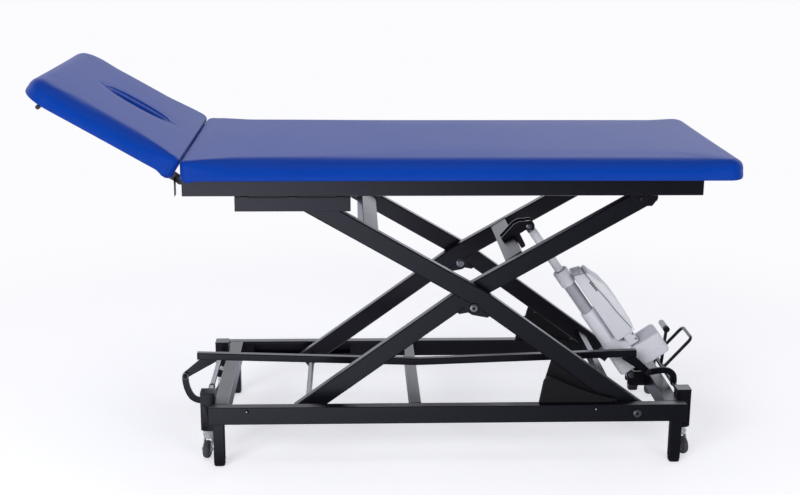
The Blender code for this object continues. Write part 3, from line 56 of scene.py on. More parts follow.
class Signal:
    # a node output that plain arithmetic works on
    def __init__(self, tree, socket):
        self.tree = tree
        self.socket = socket

    def __add__(self, other):
        return self.tree.maths("ADD", self, other)

    def __radd__(self, other):
        return self.tree.maths("ADD", other, self)

    def __sub__(self, other):
        return self.tree.maths("SUBTRACT", self, other)

    def __rsub__(self, other):
        return self.tree.maths("SUBTRACT", other, self)

    def __mul__(self, other):
        return self.tree.maths("MULTIPLY", self, other)

    def __rmul__(self, other):
        return self.tree.maths("MULTIPLY", other, self)


class Tree:
    def __init__(self, nodeTree):
        self.nodeTree = nodeTree

    def node(self, kind, settings=None, sockets=None, out=0):
        made = self.nodeTree.nodes.new(kind)
        for key, value in (settings or {}).items():
            setattr(made, key, value)
        for key, value in (sockets or {}).items():
            if isinstance(value, Signal):
                self.nodeTree.links.new(value.socket, made.inputs[key])
            else:
                made.inputs[key].default_value = value
        return Signal(self, made.outputs[out]) if out is not None else made

    def maths(self, operation, a, b):
        return self.node("ShaderNodeMath", {"operation": operation}, {0: a, 1: b})

    def smooth(self, value, low, high):
        return self.node("ShaderNodeMapRange", {"interpolation_type": "SMOOTHSTEP"},
                         {"Value": value, "From Min": low, "From Max": high})

    def mix(self, factor, a, b):
        return self.node("ShaderNodeMix", {"data_type": "RGBA"}, {0: factor, 6: a, 7: b}, out=2)

    def axis(self, vector, name):
        parts = self.node("ShaderNodeSeparateXYZ", None, {"Vector": vector}, out=None)
        return Signal(self, parts.outputs[name])

    def rays(self, *kinds):
        # 1 for rays of any of these kinds
        path = self.node("ShaderNodeLightPath", out=None)
        seen = Signal(self, path.outputs[kinds[0]])
        for kind in kinds[1:]:
            seen = self.maths("MAXIMUM", seen, Signal(self, path.outputs[kind]))
        return seen


class Finish(Tree):
    # one procedural material around a Principled shader
    def __init__(self, name):
        self.material = bpy.data.materials.new(name)
        self.material.use_nodes = True
        super().__init__(self.material.node_tree)
        self.nodeTree.nodes.clear()
        self.place = self.node("ShaderNodeTexCoord", out="Object")

    def noise(self, scale, detail, stretch=None):
        place = self.place
        if stretch:
            place = self.node("ShaderNodeMapping", None, {"Vector": place, "Scale": stretch})
        return self.node("ShaderNodeTexNoise", None, {"Vector": place, "Scale": scale, "Detail": detail})

    def cells(self, scale, feature="F1"):
        return self.node("ShaderNodeTexVoronoi", {"feature": feature},
                         {"Vector": self.place, "Scale": scale})

    def edge(self):
        # 1 on the rounded edges of a dressed piece, 0 on its faces
        return self.node("ShaderNodeAttribute", {"attribute_name": "edge"}, out="Fac")

    def bump(self, height, distance, strength=1.0):
        return self.node("ShaderNodeBump", None,
                         {"Height": height, "Distance": distance, "Strength": strength})

    def close(self, **sockets):
        named = {key.replace("_", " "): value for key, value in sockets.items()}
        shader = self.node("ShaderNodeBsdfPrincipled", None, named, out="BSDF")
        self.node("ShaderNodeOutputMaterial", None, {"Surface": shader}, out=None)
        return self.material


def rgb(*values):
    return (*values, 1.0)


# finishes

# the paler tone serves random patches, worn edges and a painted highlight along the edges
coatLook = {"deep": (0.0034, 0.0035, 0.0080), "wornAndHighlight": (0.013, 0.013, 0.018), "rough": 0.27, "peel": 650.0}


def powderCoat(look=coatLook):
    f = Finish("blackPowderCoat")
    cloud = f.noise(7.0, 3.0)
    peel = f.noise(look["peel"], 1.0)
    speck = f.smooth(f.noise(2600.0, 0.0), 0.62, 0.80)
    edge = f.edge()
    tone = f.mix(0.22 * cloud + 0.10 * speck, rgb(*look["deep"]), rgb(*look["wornAndHighlight"]))
    # rounded edges lighter and glossier: partly wear, partly a painted highlight along the edges
    tone = f.mix(0.35 * edge, tone, rgb(*look["wornAndHighlight"]))
    rough = look["rough"] + 0.08 * cloud - 0.06 * edge
    return f.close(Base_Color=tone, Roughness=rough, Specular_IOR_Level=1.0,
                   Normal=f.bump(peel + 0.35 * speck, 0.00006, 0.8))


vinylLook = {"blue": (0.0012, 0.042, 0.335), "light": (0.0022, 0.056, 0.42), "rough": 0.37, "gloss": 0.22,
             "grain": 620.0}


def blueVinyl(look=vinylLook):
    f = Finish("royalBlueVinyl")
    pore = f.cells(look["grain"])
    crease = f.cells(look["grain"] * 0.55, "DISTANCE_TO_EDGE")
    cloud = f.noise(4.0, 3.0)
    grain = f.smooth(pore, 0.0, 0.75) * 0.6 + f.smooth(crease, 0.0, 0.18) * 0.5
    tone = f.mix(0.55 * cloud + 0.25 * grain, rgb(*look["blue"]), rgb(*look["light"]))
    rough = look["rough"] + 0.07 * (1 - grain) + 0.05 * cloud
    return f.close(Base_Color=tone, Roughness=rough, Specular_IOR_Level=look["gloss"],
                   Normal=f.bump(grain, 0.00008, 0.5))


def zincPlate(name, bright, dull, rough, metal=1.0):
    f = Finish(name)
    spangle = f.cells(210.0)
    cloud = f.noise(60.0, 3.0)
    tone = f.mix(0.5 * cloud + 0.25 * f.smooth(spangle, 0.1, 0.8), rgb(*bright), rgb(*dull))
    return f.close(Base_Color=tone, Metallic=metal, Roughness=rough + 0.14 * cloud,
                   Normal=f.bump(cloud, 0.00004, 0.6))


def drawnTube(name, bright, stretch, rough, metal=1.0):
    f = Finish(name)
    lines = f.noise(1.0, 2.0, stretch=stretch)
    tone = f.mix(0.35 * lines, rgb(*bright), rgb(*(0.72 * value for value in bright)))
    return f.close(Base_Color=tone, Metallic=metal, Roughness=rough + 0.14 * lines,
                   Normal=f.bump(lines, 0.00003, 0.5))


def moulded(name, base, rough, grain, depth=0.00005, drift=0.9):
    f = Finish(name)
    texture = f.noise(grain, 1.0)
    cloud = f.noise(11.0, 2.0)
    edge = f.edge()
    low = tuple(drift * value for value in base)
    tone = f.mix(0.6 * cloud + 0.2 * texture, rgb(*base), rgb(*low))
    # painted highlight: the rounded edges are made lighter than the faces
    tone = f.mix(0.25 * edge, tone, rgb(*(min(1.0, value * 1.12 + 0.004) for value in base)))
    return f.close(Base_Color=tone, Roughness=rough + 0.10 * (texture - 0.5),
                   Normal=f.bump(texture, depth, 0.8))


def plyBoard():
    f = Finish("blackStainedPly")
    fibre = f.noise(1.0, 4.0, stretch=(14.0, 260.0, 260.0))
    tone = f.mix(fibre, rgb(0.012, 0.011, 0.010), rgb(0.034, 0.030, 0.026))
    return f.close(Base_Color=tone, Roughness=0.62 + 0.15 * fibre, Normal=f.bump(fibre, 0.00012, 0.7))


finishes = {
    "coat": powderCoat(),
    "vinyl": blueVinyl(),
    "zinc": zincPlate("brightZinc", (0.80, 0.81, 0.83), (0.58, 0.60, 0.63), 0.22),
    "paleZinc": zincPlate("paleZinc", (0.88, 0.89, 0.92), (0.72, 0.74, 0.78), 0.24, 0.35),
    "tube": drawnTube("satinTube", (0.40, 0.405, 0.43), (900.0, 12.0, 900.0), 0.36),
    "rod": drawnTube("satinRod", (0.86, 0.87, 0.93), (500.0, 500.0, 500.0), 0.40, 0.15),
    "plastic": moulded("blackMoulding", (0.0105, 0.0107, 0.0125), 0.48, 1500.0),
    "drive": moulded("paleGreyHousing", (0.75, 0.76, 0.82), 0.46, 1900.0, 0.00003, 0.95),
    "lid": moulded("whiteLid", (0.80, 0.81, 0.85), 0.42, 1900.0, 0.00003, 0.97),
    "driveTube": moulded("greyBarrel", (0.40, 0.405, 0.46), 0.38, 1700.0, 0.00002, 0.95),
    "driveSeam": moulded("greySeam", (0.16, 0.165, 0.19), 0.6, 1900.0),
    "tread": moulded("greyTread", (0.085, 0.086, 0.098), 0.55, 900.0),
    "hub": moulded("greyHub", (0.24, 0.245, 0.27), 0.5, 900.0),
    "grip": moulded("greyGrip", (0.55, 0.555, 0.60), 0.46, 800.0),
    "bolt": moulded("blackBolt", (0.012, 0.012, 0.015), 0.24, 900.0),
    # dark: painted shade for the vent discs, and the dark washer rings under the pivot bolt heads
    "dark": moulded("ventShadeAndDarkWasher", (0.006, 0.006, 0.007), 0.7, 900.0),
    "board": plyBoard(),
}
print("finishes made:", len(finishes))


# helpers for pieces

sides = {"front": -1, "rear": 1}
corners = [end + "_" + side for end in ("head", "foot") for side in sides]


def joint(name):
    return next(row for row in frame["joints"] if row["name"] == name)


def jointPlace(name):
    return Vector(joint(name)["pos_m"])


def jointAxis(name):
    return Vector(joint(name)["axis"]).normalized()


def bodyOf(node):
    for body, members in frame["record"]["behaviour"]["bodies"].items():
        if node in members:
            return body
    return "root"


def linked(name, data):
    made = bpy.data.objects.new(name, data)
    scene.collection.objects.link(made)
    return made


def addPiece(name, mesh, finish, body, replaces=()):
    piece = linked(name, mesh)
    mesh.materials.clear()
    mesh.materials.append(finishes[finish])
    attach(piece, body)
    if replaces:
        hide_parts(*replaces)
    return piece


hardAngle = 38.0      # edges that turn by more than this many degrees stay hard
turnedAngle = 35.0    # the same for turned and lofted shapes


def shadeSharp(mesh, degrees):
    mesh.shade_smooth()
    mesh.set_sharp_from_angle(angle=math.radians(degrees))


def meshFrom(name, bm, sharpAngle=hardAngle):
    mesh = bpy.data.meshes.new(name)
    bm.to_mesh(mesh)
    bm.free()
    shadeSharp(mesh, sharpAngle)
    return mesh


def evaluatedCopy(piece):
    return bpy.data.meshes.new_from_object(piece.evaluated_get(bpy.context.evaluated_depsgraph_get()))


def markEdges(mesh, widest=0.0036, bend=math.radians(12.0)):
    # face attribute: narrow strips where the surface turns on both sides
    bm = bmesh.new()
    bm.from_mesh(mesh)
    marks = []
    for face in bm.faces:
        turning = sum(1 for edge in face.edges if edge.calc_face_angle(0.0) > bend)
        longest = max(edge.calc_length() for edge in face.edges)
        narrow = longest > 0 and face.calc_area() / longest < widest
        marks.append(1.0 if narrow and turning > 1 else 0.0)
    bm.free()
    attribute = mesh.attributes.get("edge") or mesh.attributes.new("edge", "FLOAT", "FACE")
    attribute.data.foreach_set("value", marks)


def weighted(name, mesh):
    # big faces stay flat and the rounded edges take the turn
    piece = linked(name, mesh)
    weigh = piece.modifiers.new("weigh", "WEIGHTED_NORMAL")
    weigh.keep_sharp = True
    weigh.weight = 60
    done = evaluatedCopy(piece)
    bpy.data.objects.remove(piece)
    markEdges(done)
    return done


def roundEdges(bm, radius):
    hard = [e for e in bm.edges if len(e.link_faces) == 2
            and e.calc_face_angle(0.0) > math.radians(hardAngle) and e.calc_length() > radius * 2.2]
    bmesh.ops.bevel(bm, geom=hard, offset=radius, segments=2, profile=0.5, affect="EDGES",
                    clamp_overlap=True)
    bmesh.ops.triangulate(bm, faces=[f for f in bm.faces if len(f.verts) > 4])


def cadCopy(node):
    # CAD shape with its loose triangles merged back into faces
    bm = bmesh.new()
    bm.from_mesh(frame["nodes"][node].data)
    bmesh.ops.remove_doubles(bm, verts=bm.verts, dist=0.00002)
    bmesh.ops.dissolve_limit(bm, angle_limit=math.radians(0.5), verts=bm.verts, edges=bm.edges)
    return bm


def sinkPanels(bm, rim, depth):
    # sinks the two broad faces of a plate, which leaves a rim round each
    broad = sorted(bm.faces, key=lambda face: face.calc_area())[-2:]
    bmesh.ops.inset_individual(bm, faces=broad, thickness=rim, depth=0.0, use_even_offset=True)
    bmesh.ops.inset_individual(bm, faces=broad, thickness=depth, depth=-depth, use_even_offset=True)


def dressNode(node, finish, edgeRound=0.0008, part=None, suffix="Look", stands=True, panel=None):
    # CAD shape with its hard edges rounded; part keeps only the faces it accepts
    bm = cadCopy(node)
    if part:
        bmesh.ops.delete(bm, geom=[f for f in bm.faces if not part(f)], context="FACES")
    if panel:
        sinkPanels(bm, panel["rim"], panel["depth"])
    roundEdges(bm, edgeRound)
    name = node + suffix
    return addPiece(name, weighted(name, meshFrom(name, bm)), finish, bodyOf(node),
                    (node,) if stands else ())


def ringOf(bm, radius, height, count, flats=0):
    # a round ring, or one pressed to a polygon
    ring = []
    for i in range(count):
        turn = 2 * math.pi * i / count
        r = radius
        if flats:
            part = (turn + math.pi / flats) % (2 * math.pi / flats) - math.pi / flats
            r = radius * math.cos(math.pi / flats) / math.cos(part)
        ring.append(bm.verts.new((r * math.cos(turn), r * math.sin(turn), height)))
    return ring


def bridgeRings(bm, rings, closeLow=True, closeHigh=True):
    for low, high in zip(rings, rings[1:]):
        for i in range(len(low)):
            j = (i + 1) % len(low)
            bm.faces.new((low[i], low[j], high[j], high[i]))
    if closeLow:
        bm.faces.new(list(reversed(rings[0])))
    if closeHigh:
        bm.faces.new(rings[-1])


def placeRings(bm, rings, place):
    bmesh.ops.transform(bm, matrix=place, verts=[v for ring in rings for v in ring])


def turnedInto(bm, profile, count=36, place=Matrix.Identity(4)):
    # profile rows: radius, height, optional polygon flats
    rings = [ringOf(bm, row[0], row[1], count, row[2] if len(row) > 2 else 0) for row in profile]
    bridgeRings(bm, rings)
    placeRings(bm, rings, place)


def turnedMesh(name, profile, count=36, place=Matrix.Identity(4), sharp=turnedAngle):
    bm = bmesh.new()
    turnedInto(bm, profile, count, place)
    bmesh.ops.recalc_face_normals(bm, faces=bm.faces)
    return meshFrom(name, bm, sharp)


def mirrored(half, *middle):
    # rows of a profile that is the same on both sides of its middle
    return half + list(middle) + [(radius, -height) for radius, height in reversed(half)]


def roundedRect(halfA, halfB, radius, steps=4):
    # outline in its own plane, counter-clockwise
    points = []
    for a, b, start in ((1, 1, 0), (-1, 1, 90), (-1, -1, 180), (1, -1, 270)):
        for i in range(steps + 1):
            turn = math.radians(start + 90.0 * i / steps)
            points.append((a * (halfA - radius) + radius * math.cos(turn),
                           b * (halfB - radius) + radius * math.sin(turn)))
    return points


def slabInto(bm, halfA, halfB, thick, corner, edge, place):
    # rounded plate on its own z = 0, with a softened upper rim
    rings = []
    for inset, height in ((0.0, 0.0), (0.0, thick - edge), (edge * 0.3, thick - edge * 0.3), (edge, thick)):
        outline = roundedRect(halfA - inset, halfB - inset, max(corner - inset, 0.0002))
        rings.append([bm.verts.new((a, b, height)) for a, b in outline])
    bridgeRings(bm, rings)
    placeRings(bm, rings, place)


def facing(place, direction):
    # matrix whose z axis looks along the direction
    return Matrix.Translation(place) @ Vector(direction).to_track_quat("Z", "Y").to_matrix().to_4x4()


# repeats, made with Geometry Nodes

class Repeat(Tree):
    # one Geometry Nodes tree with named inputs, turned into a plain mesh
    def __init__(self, name, inputs, finish):
        self.finish = finish
        self.group = bpy.data.node_groups.new(name, "GeometryNodeTree")
        super().__init__(self.group)
        self.group.interface.new_socket("Geometry", in_out="INPUT", socket_type="NodeSocketGeometry")
        self.group.interface.new_socket("Geometry", in_out="OUTPUT", socket_type="NodeSocketGeometry")
        self.sockets = {}
        for key, kind in inputs.items():
            socket = self.group.interface.new_socket(key, in_out="INPUT", socket_type=kind)
            self.sockets[key] = socket.identifier
        self.given = self.node("NodeGroupInput", out=None)

    def input(self, name):
        return Signal(self, self.given.outputs[name])

    def close(self, instances):
        real = self.node("GeometryNodeRealizeInstances", None, {"Geometry": instances})
        painted = self.node("GeometryNodeSetMaterial", None,
                            {"Geometry": real, "Material": finishes[self.finish]})
        self.node("NodeGroupOutput", None, {"Geometry": painted}, out=None)

    def run(self, name, base, values, body):
        holder = linked(name + "Base", base)
        modifier = holder.modifiers.new("repeat", "NODES")
        modifier.node_group = self.group
        for key, value in values.items():
            modifier[self.sockets[key]] = value
        made = evaluatedCopy(holder)
        holder.modifiers.remove(modifier)
        bpy.data.objects.remove(holder)
        shadeSharp(made, turnedAngle)
        return addPiece(name, made, self.finish, body)


def studTree(finish):
    # a small shape set on every point, standing along the point's aim
    tree = Repeat("studs" + finish, {"Shape": "NodeSocketObject", "Size": "NodeSocketFloat"}, finish)
    shape = tree.node("GeometryNodeObjectInfo", None, {"Object": tree.input("Shape")}, out="Geometry")
    aim = tree.node("GeometryNodeInputNamedAttribute", {"data_type": "FLOAT_VECTOR"}, {"Name": "aim"})
    turn = tree.node("FunctionNodeAlignRotationToVector", {"axis": "Z"}, {"Vector": aim})
    tree.close(tree.node("GeometryNodeInstanceOnPoints", None,
                         {"Points": tree.input("Geometry"), "Instance": shape, "Rotation": turn,
                          "Scale": tree.input("Size")}))
    return tree


def beadTree():
    # overlapping round beads along every edge path: a weld seam
    tree = Repeat("weldBeads", {"Bead": "NodeSocketFloat", "Spacing": "NodeSocketFloat"}, "coat")
    path = tree.node("GeometryNodeMeshToCurve", None, {"Mesh": tree.input("Geometry")})
    even = tree.node("GeometryNodeResampleCurve", {"mode": "LENGTH"},
                     {"Curve": path, "Length": tree.input("Spacing")})
    ball = tree.node("GeometryNodeMeshUVSphere", None,
                     {"Segments": 8, "Rings": 5, "Radius": tree.input("Bead")}, out="Mesh")
    tree.close(tree.node("GeometryNodeInstanceOnPoints", None, {"Points": even, "Instance": ball}))
    return tree


studTrees = {}


def setStuds(name, body, finish, profile, places, size=1.0, count=16):
    # places: point and outward direction of each stud
    if finish not in studTrees:
        studTrees[finish] = studTree(finish)
    shape = linked(name + "Shape", turnedMesh(name + "Shape", profile, count))
    base = bpy.data.meshes.new(name + "Points")
    base.from_pydata([tuple(point) for point, aim in places], [], [])
    aims = base.attributes.new("aim", "FLOAT_VECTOR", "POINT")
    for i, (point, aim) in enumerate(places):
        aims.data[i].vector = aim
    piece = studTrees[finish].run(name, base, {"Shape": shape, "Size": size}, body)
    bpy.data.objects.remove(shape)
    return piece


welds = beadTree()


def weldRuns(name, body, runs, bead=0.0016, spacing=0.0017):
    points, edges = [], []
    for run in runs:
        start = len(points)
        points += [tuple(p) for p in run]
        edges += [(i, i + 1) for i in range(start, len(points) - 1)]
    base = bpy.data.meshes.new(name + "Path")
    base.from_pydata(points, edges, [])
    return welds.run(name, base, {"Bead": bead, "Spacing": spacing}, body)


# frame and lift: CAD shapes with rounded edges

dressing = {
    "coat": ["front_base_rail", "rear_base_rail", "head_crossbar", "foot_crossbar", "mid_crossbar",
             "top_rail_front", "top_rail_rear", "top_crossbar_head", "top_crossbar_foot",
             "roller_guide_front", "roller_guide_rear", "outer_arm_front", "outer_arm_rear",
             "inner_arm_front", "inner_arm_rear", "outer_lower_tube", "outer_upper_tube", "inner_lift_tube",
             "lift_bracket", "head_hinge_front", "head_hinge_rear", "head_bar", "link_bar", "foot_shaft"]
            + ["castor_stem_" + c for c in corners],
    "tube": ["lower_roller_shaft", "upper_roller_shaft"],
    "board": ["main_board", "head_board"],
}
guardLook = {"base_guard_": {"rim": 0.0042, "depth": 0.0014, "round": 0.0015},
             "arm_guard_": {"rim": 0.0036, "depth": 0.0007, "round": 0.0011}}
footCapLook = {"corner": 0.0085, "edge": 0.0045, "gap": 0.0003, "plugInset": 0.0030, "plugEdge": 0.0010}
for finish, nodes in dressing.items():
    for node in nodes:
        dressNode(node, finish)
for guard, panel in guardLook.items():
    for side in sides:
        dressNode(guard + side, "plastic", panel["round"], panel=panel)


def buildFootCap(corner, look=footCapLook):
    # the cap ends where the leg begins, and its plug goes on up inside the leg
    node = "foot_cap_" + corner
    low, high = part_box(node)
    middle, half = (low + high) / 2, (high - low) / 2
    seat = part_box(corner.split("_")[1] + "_base_rail")[0].z - look["gap"]
    inset, root = look["plugInset"], seat - look["plugEdge"]
    bm = bmesh.new()
    slabInto(bm, half.x, half.y, seat - low.z, look["corner"], look["edge"],
             facing((middle.x, middle.y, seat), (0, 0, -1)))
    slabInto(bm, half.x - inset, half.y - inset, high.z - root, look["corner"] - inset, look["plugEdge"],
             facing((middle.x, middle.y, root), (0, 0, 1)))
    bmesh.ops.recalc_face_normals(bm, faces=bm.faces)
    name = node + "Look"
    addPiece(name, weighted(name, meshFrom(name, bm)), "plastic", bodyOf(node), (node,))


for corner in corners:
    buildFootCap(corner)

headShaft = {"bare": 0.0078}    # within this radius of its axis the shaft is bare steel
headAxis = jointPlace("head_crank")


def onHeadShaft(face):
    return all(math.hypot(v.co.x - headAxis.x, v.co.z - headAxis.z) < headShaft["bare"] for v in face.verts)


dressNode("head_shaft", "tube", part=onHeadShaft)
dressNode("head_shaft", "coat", part=lambda face: not onHeadShaft(face), suffix="Crank", stands=False)
print("dressed nodes:",
      sum(len(nodes) for nodes in dressing.values()) + 2 * len(guardLook) + len(corners) + 1)


# upholstery

padLook = {
    "main_cushion": {"name": "mainPad", "board": "main_board", "voxel": 0.0075, "tilt": 0.0, "hingeEnd": -1,
                     "lowCorner": 0.024, "highCorner": 0.046, "topEdge": 0.037, "edgeReach": 1.55,
                     "hingeEdge": 0.013, "freeEdge": 0.025, "lowEdge": 0.006, "sag": 0.005, "crown": 0.0020,
                     "drawIn": 0.003, "cap": 0.0012, "slot": None, "fill": 0.8},
    "head_cushion": {"name": "headPad", "board": "head_board", "voxel": 0.0046, "tilt": 30.0, "hingeEnd": 1,
                     "lowCorner": 0.080, "highCorner": 0.024, "topEdge": 0.038, "edgeReach": 1.4,
                     "hingeEdge": 0.013, "freeEdge": 0.033, "lowEdge": 0.006, "sag": 0.008, "crown": 0.0012,
                     "drawIn": 0.003, "cap": 0.0012, "fill": 0.8,
                     "slot": {"fromHinge": 0.2025, "half": 0.080, "wide": 0.019, "lip": 0.006,
                              "lowLip": 0.004, "lining": (0.112, 0.052),
                              "dish": {"half": 0.098, "wide": 0.047, "depth": 0.0060, "rim": 0.15,
                                       "drop": 0.0030}}},
}
padFit = {"shrink": 0.0012, "overBoard": 0.0004, "pinch": 0.14, "held": 0.010, "meet": 0.0006,
          "heldEnd": 0.020, "freeRun": 0.13, "freeReach": 0.8, "upperFrom": 0.3, "slotNear": 0.05,
          "longestStep": 0.006, "sagEnd": 1.6, "sagEndRun": 0.028, "sagSide": 0.055, "sagSideRun": 0.030,
          "liningIn": (0.002, 0.005)}


def clamped(values):
    return np.clip(values, 0, 1)


def eased(t):
    return t * t * (3 - 2 * t)


def roundedCorner(a, b, radius):
    # distance to a rounded corner, from the distances to its two sides
    a, b = a + radius, b + radius
    return np.minimum(np.maximum(a, b), 0) + np.hypot(np.maximum(a, 0), np.maximum(b, 0)) - radius


class PadForm:
    # distance field of the upholstered shape, in the frame where the pad lies flat
    def __init__(self, look, low, high, hingeX):
        self.look = look
        # the two pads meet at the hinge, so only the free end is drawn in
        lowX = low[0] + (padFit["shrink"] if look["hingeEnd"] > 0 else -padFit["meet"])
        highX = high[0] - (padFit["shrink"] if look["hingeEnd"] < 0 else -padFit["meet"])
        self.middle = (lowX + highX) / 2
        self.halfLength = (highX - lowX) / 2
        self.halfWidth = (high[1] - low[1]) / 2 - padFit["shrink"]
        self.bottom = low[2] + padFit["overBoard"]
        self.top = high[2] - padFit["shrink"]
        self.endX = self.middle + look["hingeEnd"] * self.halfLength
        self.freeX = self.middle - look["hingeEnd"] * self.halfLength
        self.slotLine = None
        if look["slot"]:
            slot = look["slot"]
            turns = np.linspace(0.0, 2 * np.pi, 161)[:-1]
            self.slotX = hingeX - slot["fromHinge"]
            self.slotShape = np.stack((np.cos(turns), np.sin(turns)), axis=1)
            self.slotLine = self.slotShape * (slot["half"], slot["wide"]) + (self.slotX, 0.0)

    def plan(self, x, y):
        look = self.look
        across = clamped(1 - ((x - self.middle) / self.halfLength) ** 2)
        along = clamped(1 - (y / self.halfWidth) ** 2)
        corner = np.where(x < self.middle, look["lowCorner"], look["highCorner"])
        freeEnd = look["hingeEnd"] * (x - self.middle) < 0
        endGap = np.abs(x - self.middle) - (self.halfLength - 0.5 * look["drawIn"] * along * freeEnd)
        sideGap = np.abs(y) - (self.halfWidth - look["drawIn"] * across)
        return roundedCorner(endGap, sideGap, corner)

    def slotDistance(self, x, y):
        slot, room = self.look["slot"], padFit["slotNear"]
        gap = np.full(len(x), 1.0)
        near = (np.abs(x - self.slotX) < slot["half"] + room) & (np.abs(y) < slot["wide"] + room)
        if near.any():
            spot = np.stack((x[near], y[near]), axis=1)
            gap[near] = np.sqrt(((spot[:, None, :] - self.slotLine[None]) ** 2).sum(2).min(1))
            reach = clamped(1 - ((x[near] - self.slotX) / slot["half"]) ** 2)
            inside = np.abs(y[near]) < slot["wide"] * np.sqrt(reach)
            gap[near] = np.where(inside, -gap[near], gap[near])
        return gap

    def dishWidth(self, x):
        # share of the dish's full width at a place along the pad
        return np.sqrt(clamped(1 - ((x - self.slotX) / self.look["slot"]["dish"]["half"]) ** 2))

    def dish(self, x, y):
        # the cover drops at a rim round the slot, then slopes down towards it
        if self.slotLine is None:
            return 0.0
        dish = self.look["slot"]["dish"]
        width = self.dishWidth(x)
        inward = clamped(1 - np.abs(y) / np.maximum(dish["wide"] * width, 1e-6))
        return width * (dish["depth"] * inward + dish["drop"] * eased(clamped(inward / dish["rim"])))

    def floor(self, x, y):
        # lower edge, with the cover tucked under deeper at the two hinge corners
        end = clamped(padFit["sagEnd"] - np.abs(x - self.endX) / padFit["sagEndRun"])
        side = clamped((np.abs(y) - self.halfWidth + padFit["sagSide"]) / padFit["sagSideRun"])
        return self.bottom - self.look["sag"] * eased(end) * eased(side)

    def distance(self, p):
        look = self.look
        x, y, z = p.T
        rise = clamped(1 - ((x - self.middle) / self.halfLength) ** 4)
        rise = rise * clamped(1 - (y / self.halfWidth) ** 4)
        top = self.top - look["crown"] * (1 - rise) - self.dish(x, y)
        away = clamped(np.abs(x - self.endX) / padFit["pinch"])
        roundover = look["hingeEdge"] + (look["topEdge"] - look["hingeEdge"]) * eased(away)
        # the free end is fuller than the long sides
        full = eased(clamped(1 - np.abs(x - self.freeX) / padFit["freeRun"]))
        roundover = roundover + (look["freeEdge"] - look["topEdge"]) * full
        upper = z > self.bottom + padFit["upperFrom"] * (self.top - self.bottom)
        edge = np.where(upper, roundover, look["lowEdge"])
        reach = 1 + (1 / look["edgeReach"] - 1) * away * (1 - padFit["freeReach"] * full)
        flatGap = self.plan(x, y) * np.where(upper, reach, 1.0)
        body = roundedCorner(flatGap, np.where(upper, z - top, self.floor(x, y) - z), edge)
        if self.slotLine is None:
            return body
        lip = np.where(upper, look["slot"]["lip"], look["slot"]["lowLip"])
        return roundedCorner(body, -self.slotDistance(x, y), lip)

    def settle(self, p, rounds=5, step=0.0004):
        # moves points onto the form's surface
        for _ in range(rounds):
            value = self.distance(p)
            slope = np.empty_like(p)
            for axis in range(3):
                shift = np.zeros(3)
                shift[axis] = step
                slope[:, axis] = (self.distance(p + shift) - self.distance(p - shift)) / (2 * step)
            size = np.maximum((slope ** 2).sum(1, keepdims=True), 0.2)
            value = np.clip(value, -padFit["longestStep"], padFit["longestStep"])
            p = p - value[:, None] * slope / size
        return p

    def held(self, p):
        # 1 where the cover is fixed to the board or meets the other pad: lower edge, slot and hinge end
        hold = clamped(2 - (p[:, 2] - self.bottom) / padFit["held"])
        hold = np.maximum(hold, clamped(2 - np.abs(p[:, 0] - self.endX) / padFit["heldEnd"]))
        if self.slotLine is not None:
            lips = np.abs(self.slotDistance(p[:, 0], p[:, 1]))
            hold = np.maximum(hold, clamped(2 - lips / (self.look["slot"]["dish"]["wide"] / 2)))
        return hold

    def liningInto(self, bm):
        # ring that narrows the CAD slot to the one seen
        inner = self.slotLine
        outer = self.slotShape * self.look["slot"]["lining"] + (self.slotX, 0.0)
        low, high = self.bottom + padFit["liningIn"][0], self.top - padFit["liningIn"][1]
        rings = [[bm.verts.new((x, y, z)) for x, y in line]
                 for line, z in ((inner, low), (outer, low), (outer, high), (inner, high))]
        bridgeRings(bm, rings + [rings[0]], False, False)


def readPoints(mesh):
    flat = np.empty(3 * len(mesh.vertices), np.float32)
    mesh.vertices.foreach_get("co", flat)
    return flat.reshape(-1, 3).astype(float)


def writePoints(mesh, points):
    mesh.vertices.foreach_set("co", points.astype(np.float32).ravel())
    mesh.update()


def evened(mesh, moved, rounds=12):
    # each point moves like its neighbours, so that no small wrinkle is left
    ends = np.empty(2 * len(mesh.edges), np.int32)
    mesh.edges.foreach_get("vertices", ends)
    first, second = ends.reshape(-1, 2).T
    near = np.bincount(ends, minlength=len(moved))
    for _ in range(rounds):
        for axis in range(3):
            own = moved[:, axis].copy()
            total = np.bincount(first, own[second], len(own)) + np.bincount(second, own[first], len(own))
            moved[:, axis] = 0.5 * own + 0.5 * total / near
    return moved


clothLook = {"quality": 4, "mass": 0.25, "tension_stiffness": 25.0, "compression_stiffness": 25.0,
             "bending_stiffness": 2.0, "use_pressure": True, "uniform_pressure_force": 4.0}


def swell(pad, pinned, cap, frames=20):
    # cloth over foam: blown up a little, held at its lower edge
    rest = readPoints(pad.data)
    group = pad.vertex_groups.new(name="held")
    group.add(pinned, 1.0, "REPLACE")
    cloth = pad.modifiers.new("cover", "CLOTH")
    for key, value in clothLook.items():
        setattr(cloth.settings, key, value)
    cloth.settings.effector_weights.gravity = 0.0
    cloth.settings.vertex_group_mass = group.name
    cloth.collision_settings.use_collision = False
    cloth.point_cache.frame_start = 1
    cloth.point_cache.frame_end = frames
    for step in range(1, frames + 1):
        scene.frame_set(step)
    moved = evened(pad.data, readPoints(evaluatedCopy(pad)) - rest)
    pad.modifiers.remove(cloth)
    scene.frame_set(1)
    length = np.linalg.norm(moved, axis=1, keepdims=True)
    writePoints(pad.data, rest + moved * cap * np.tanh(length / cap) / np.maximum(length, 1e-9))
    pad.vertex_groups.clear()


foldLook = {"tip": 0.0022, "tipRun": 0.030, "tipLead": 0.012, "tipWide": 0.0042, "ridge": 0.0009,
            "ridgeOut": 0.003, "ridgeWide": 0.004, "tuck": 0.0024, "tuckAt": (0.40, 0.80, 1.20),
            "tuckRise": 0.040, "tuckWide": 0.10, "tuckInner": 0.55, "upFrom": 0.03, "upRun": 0.015}


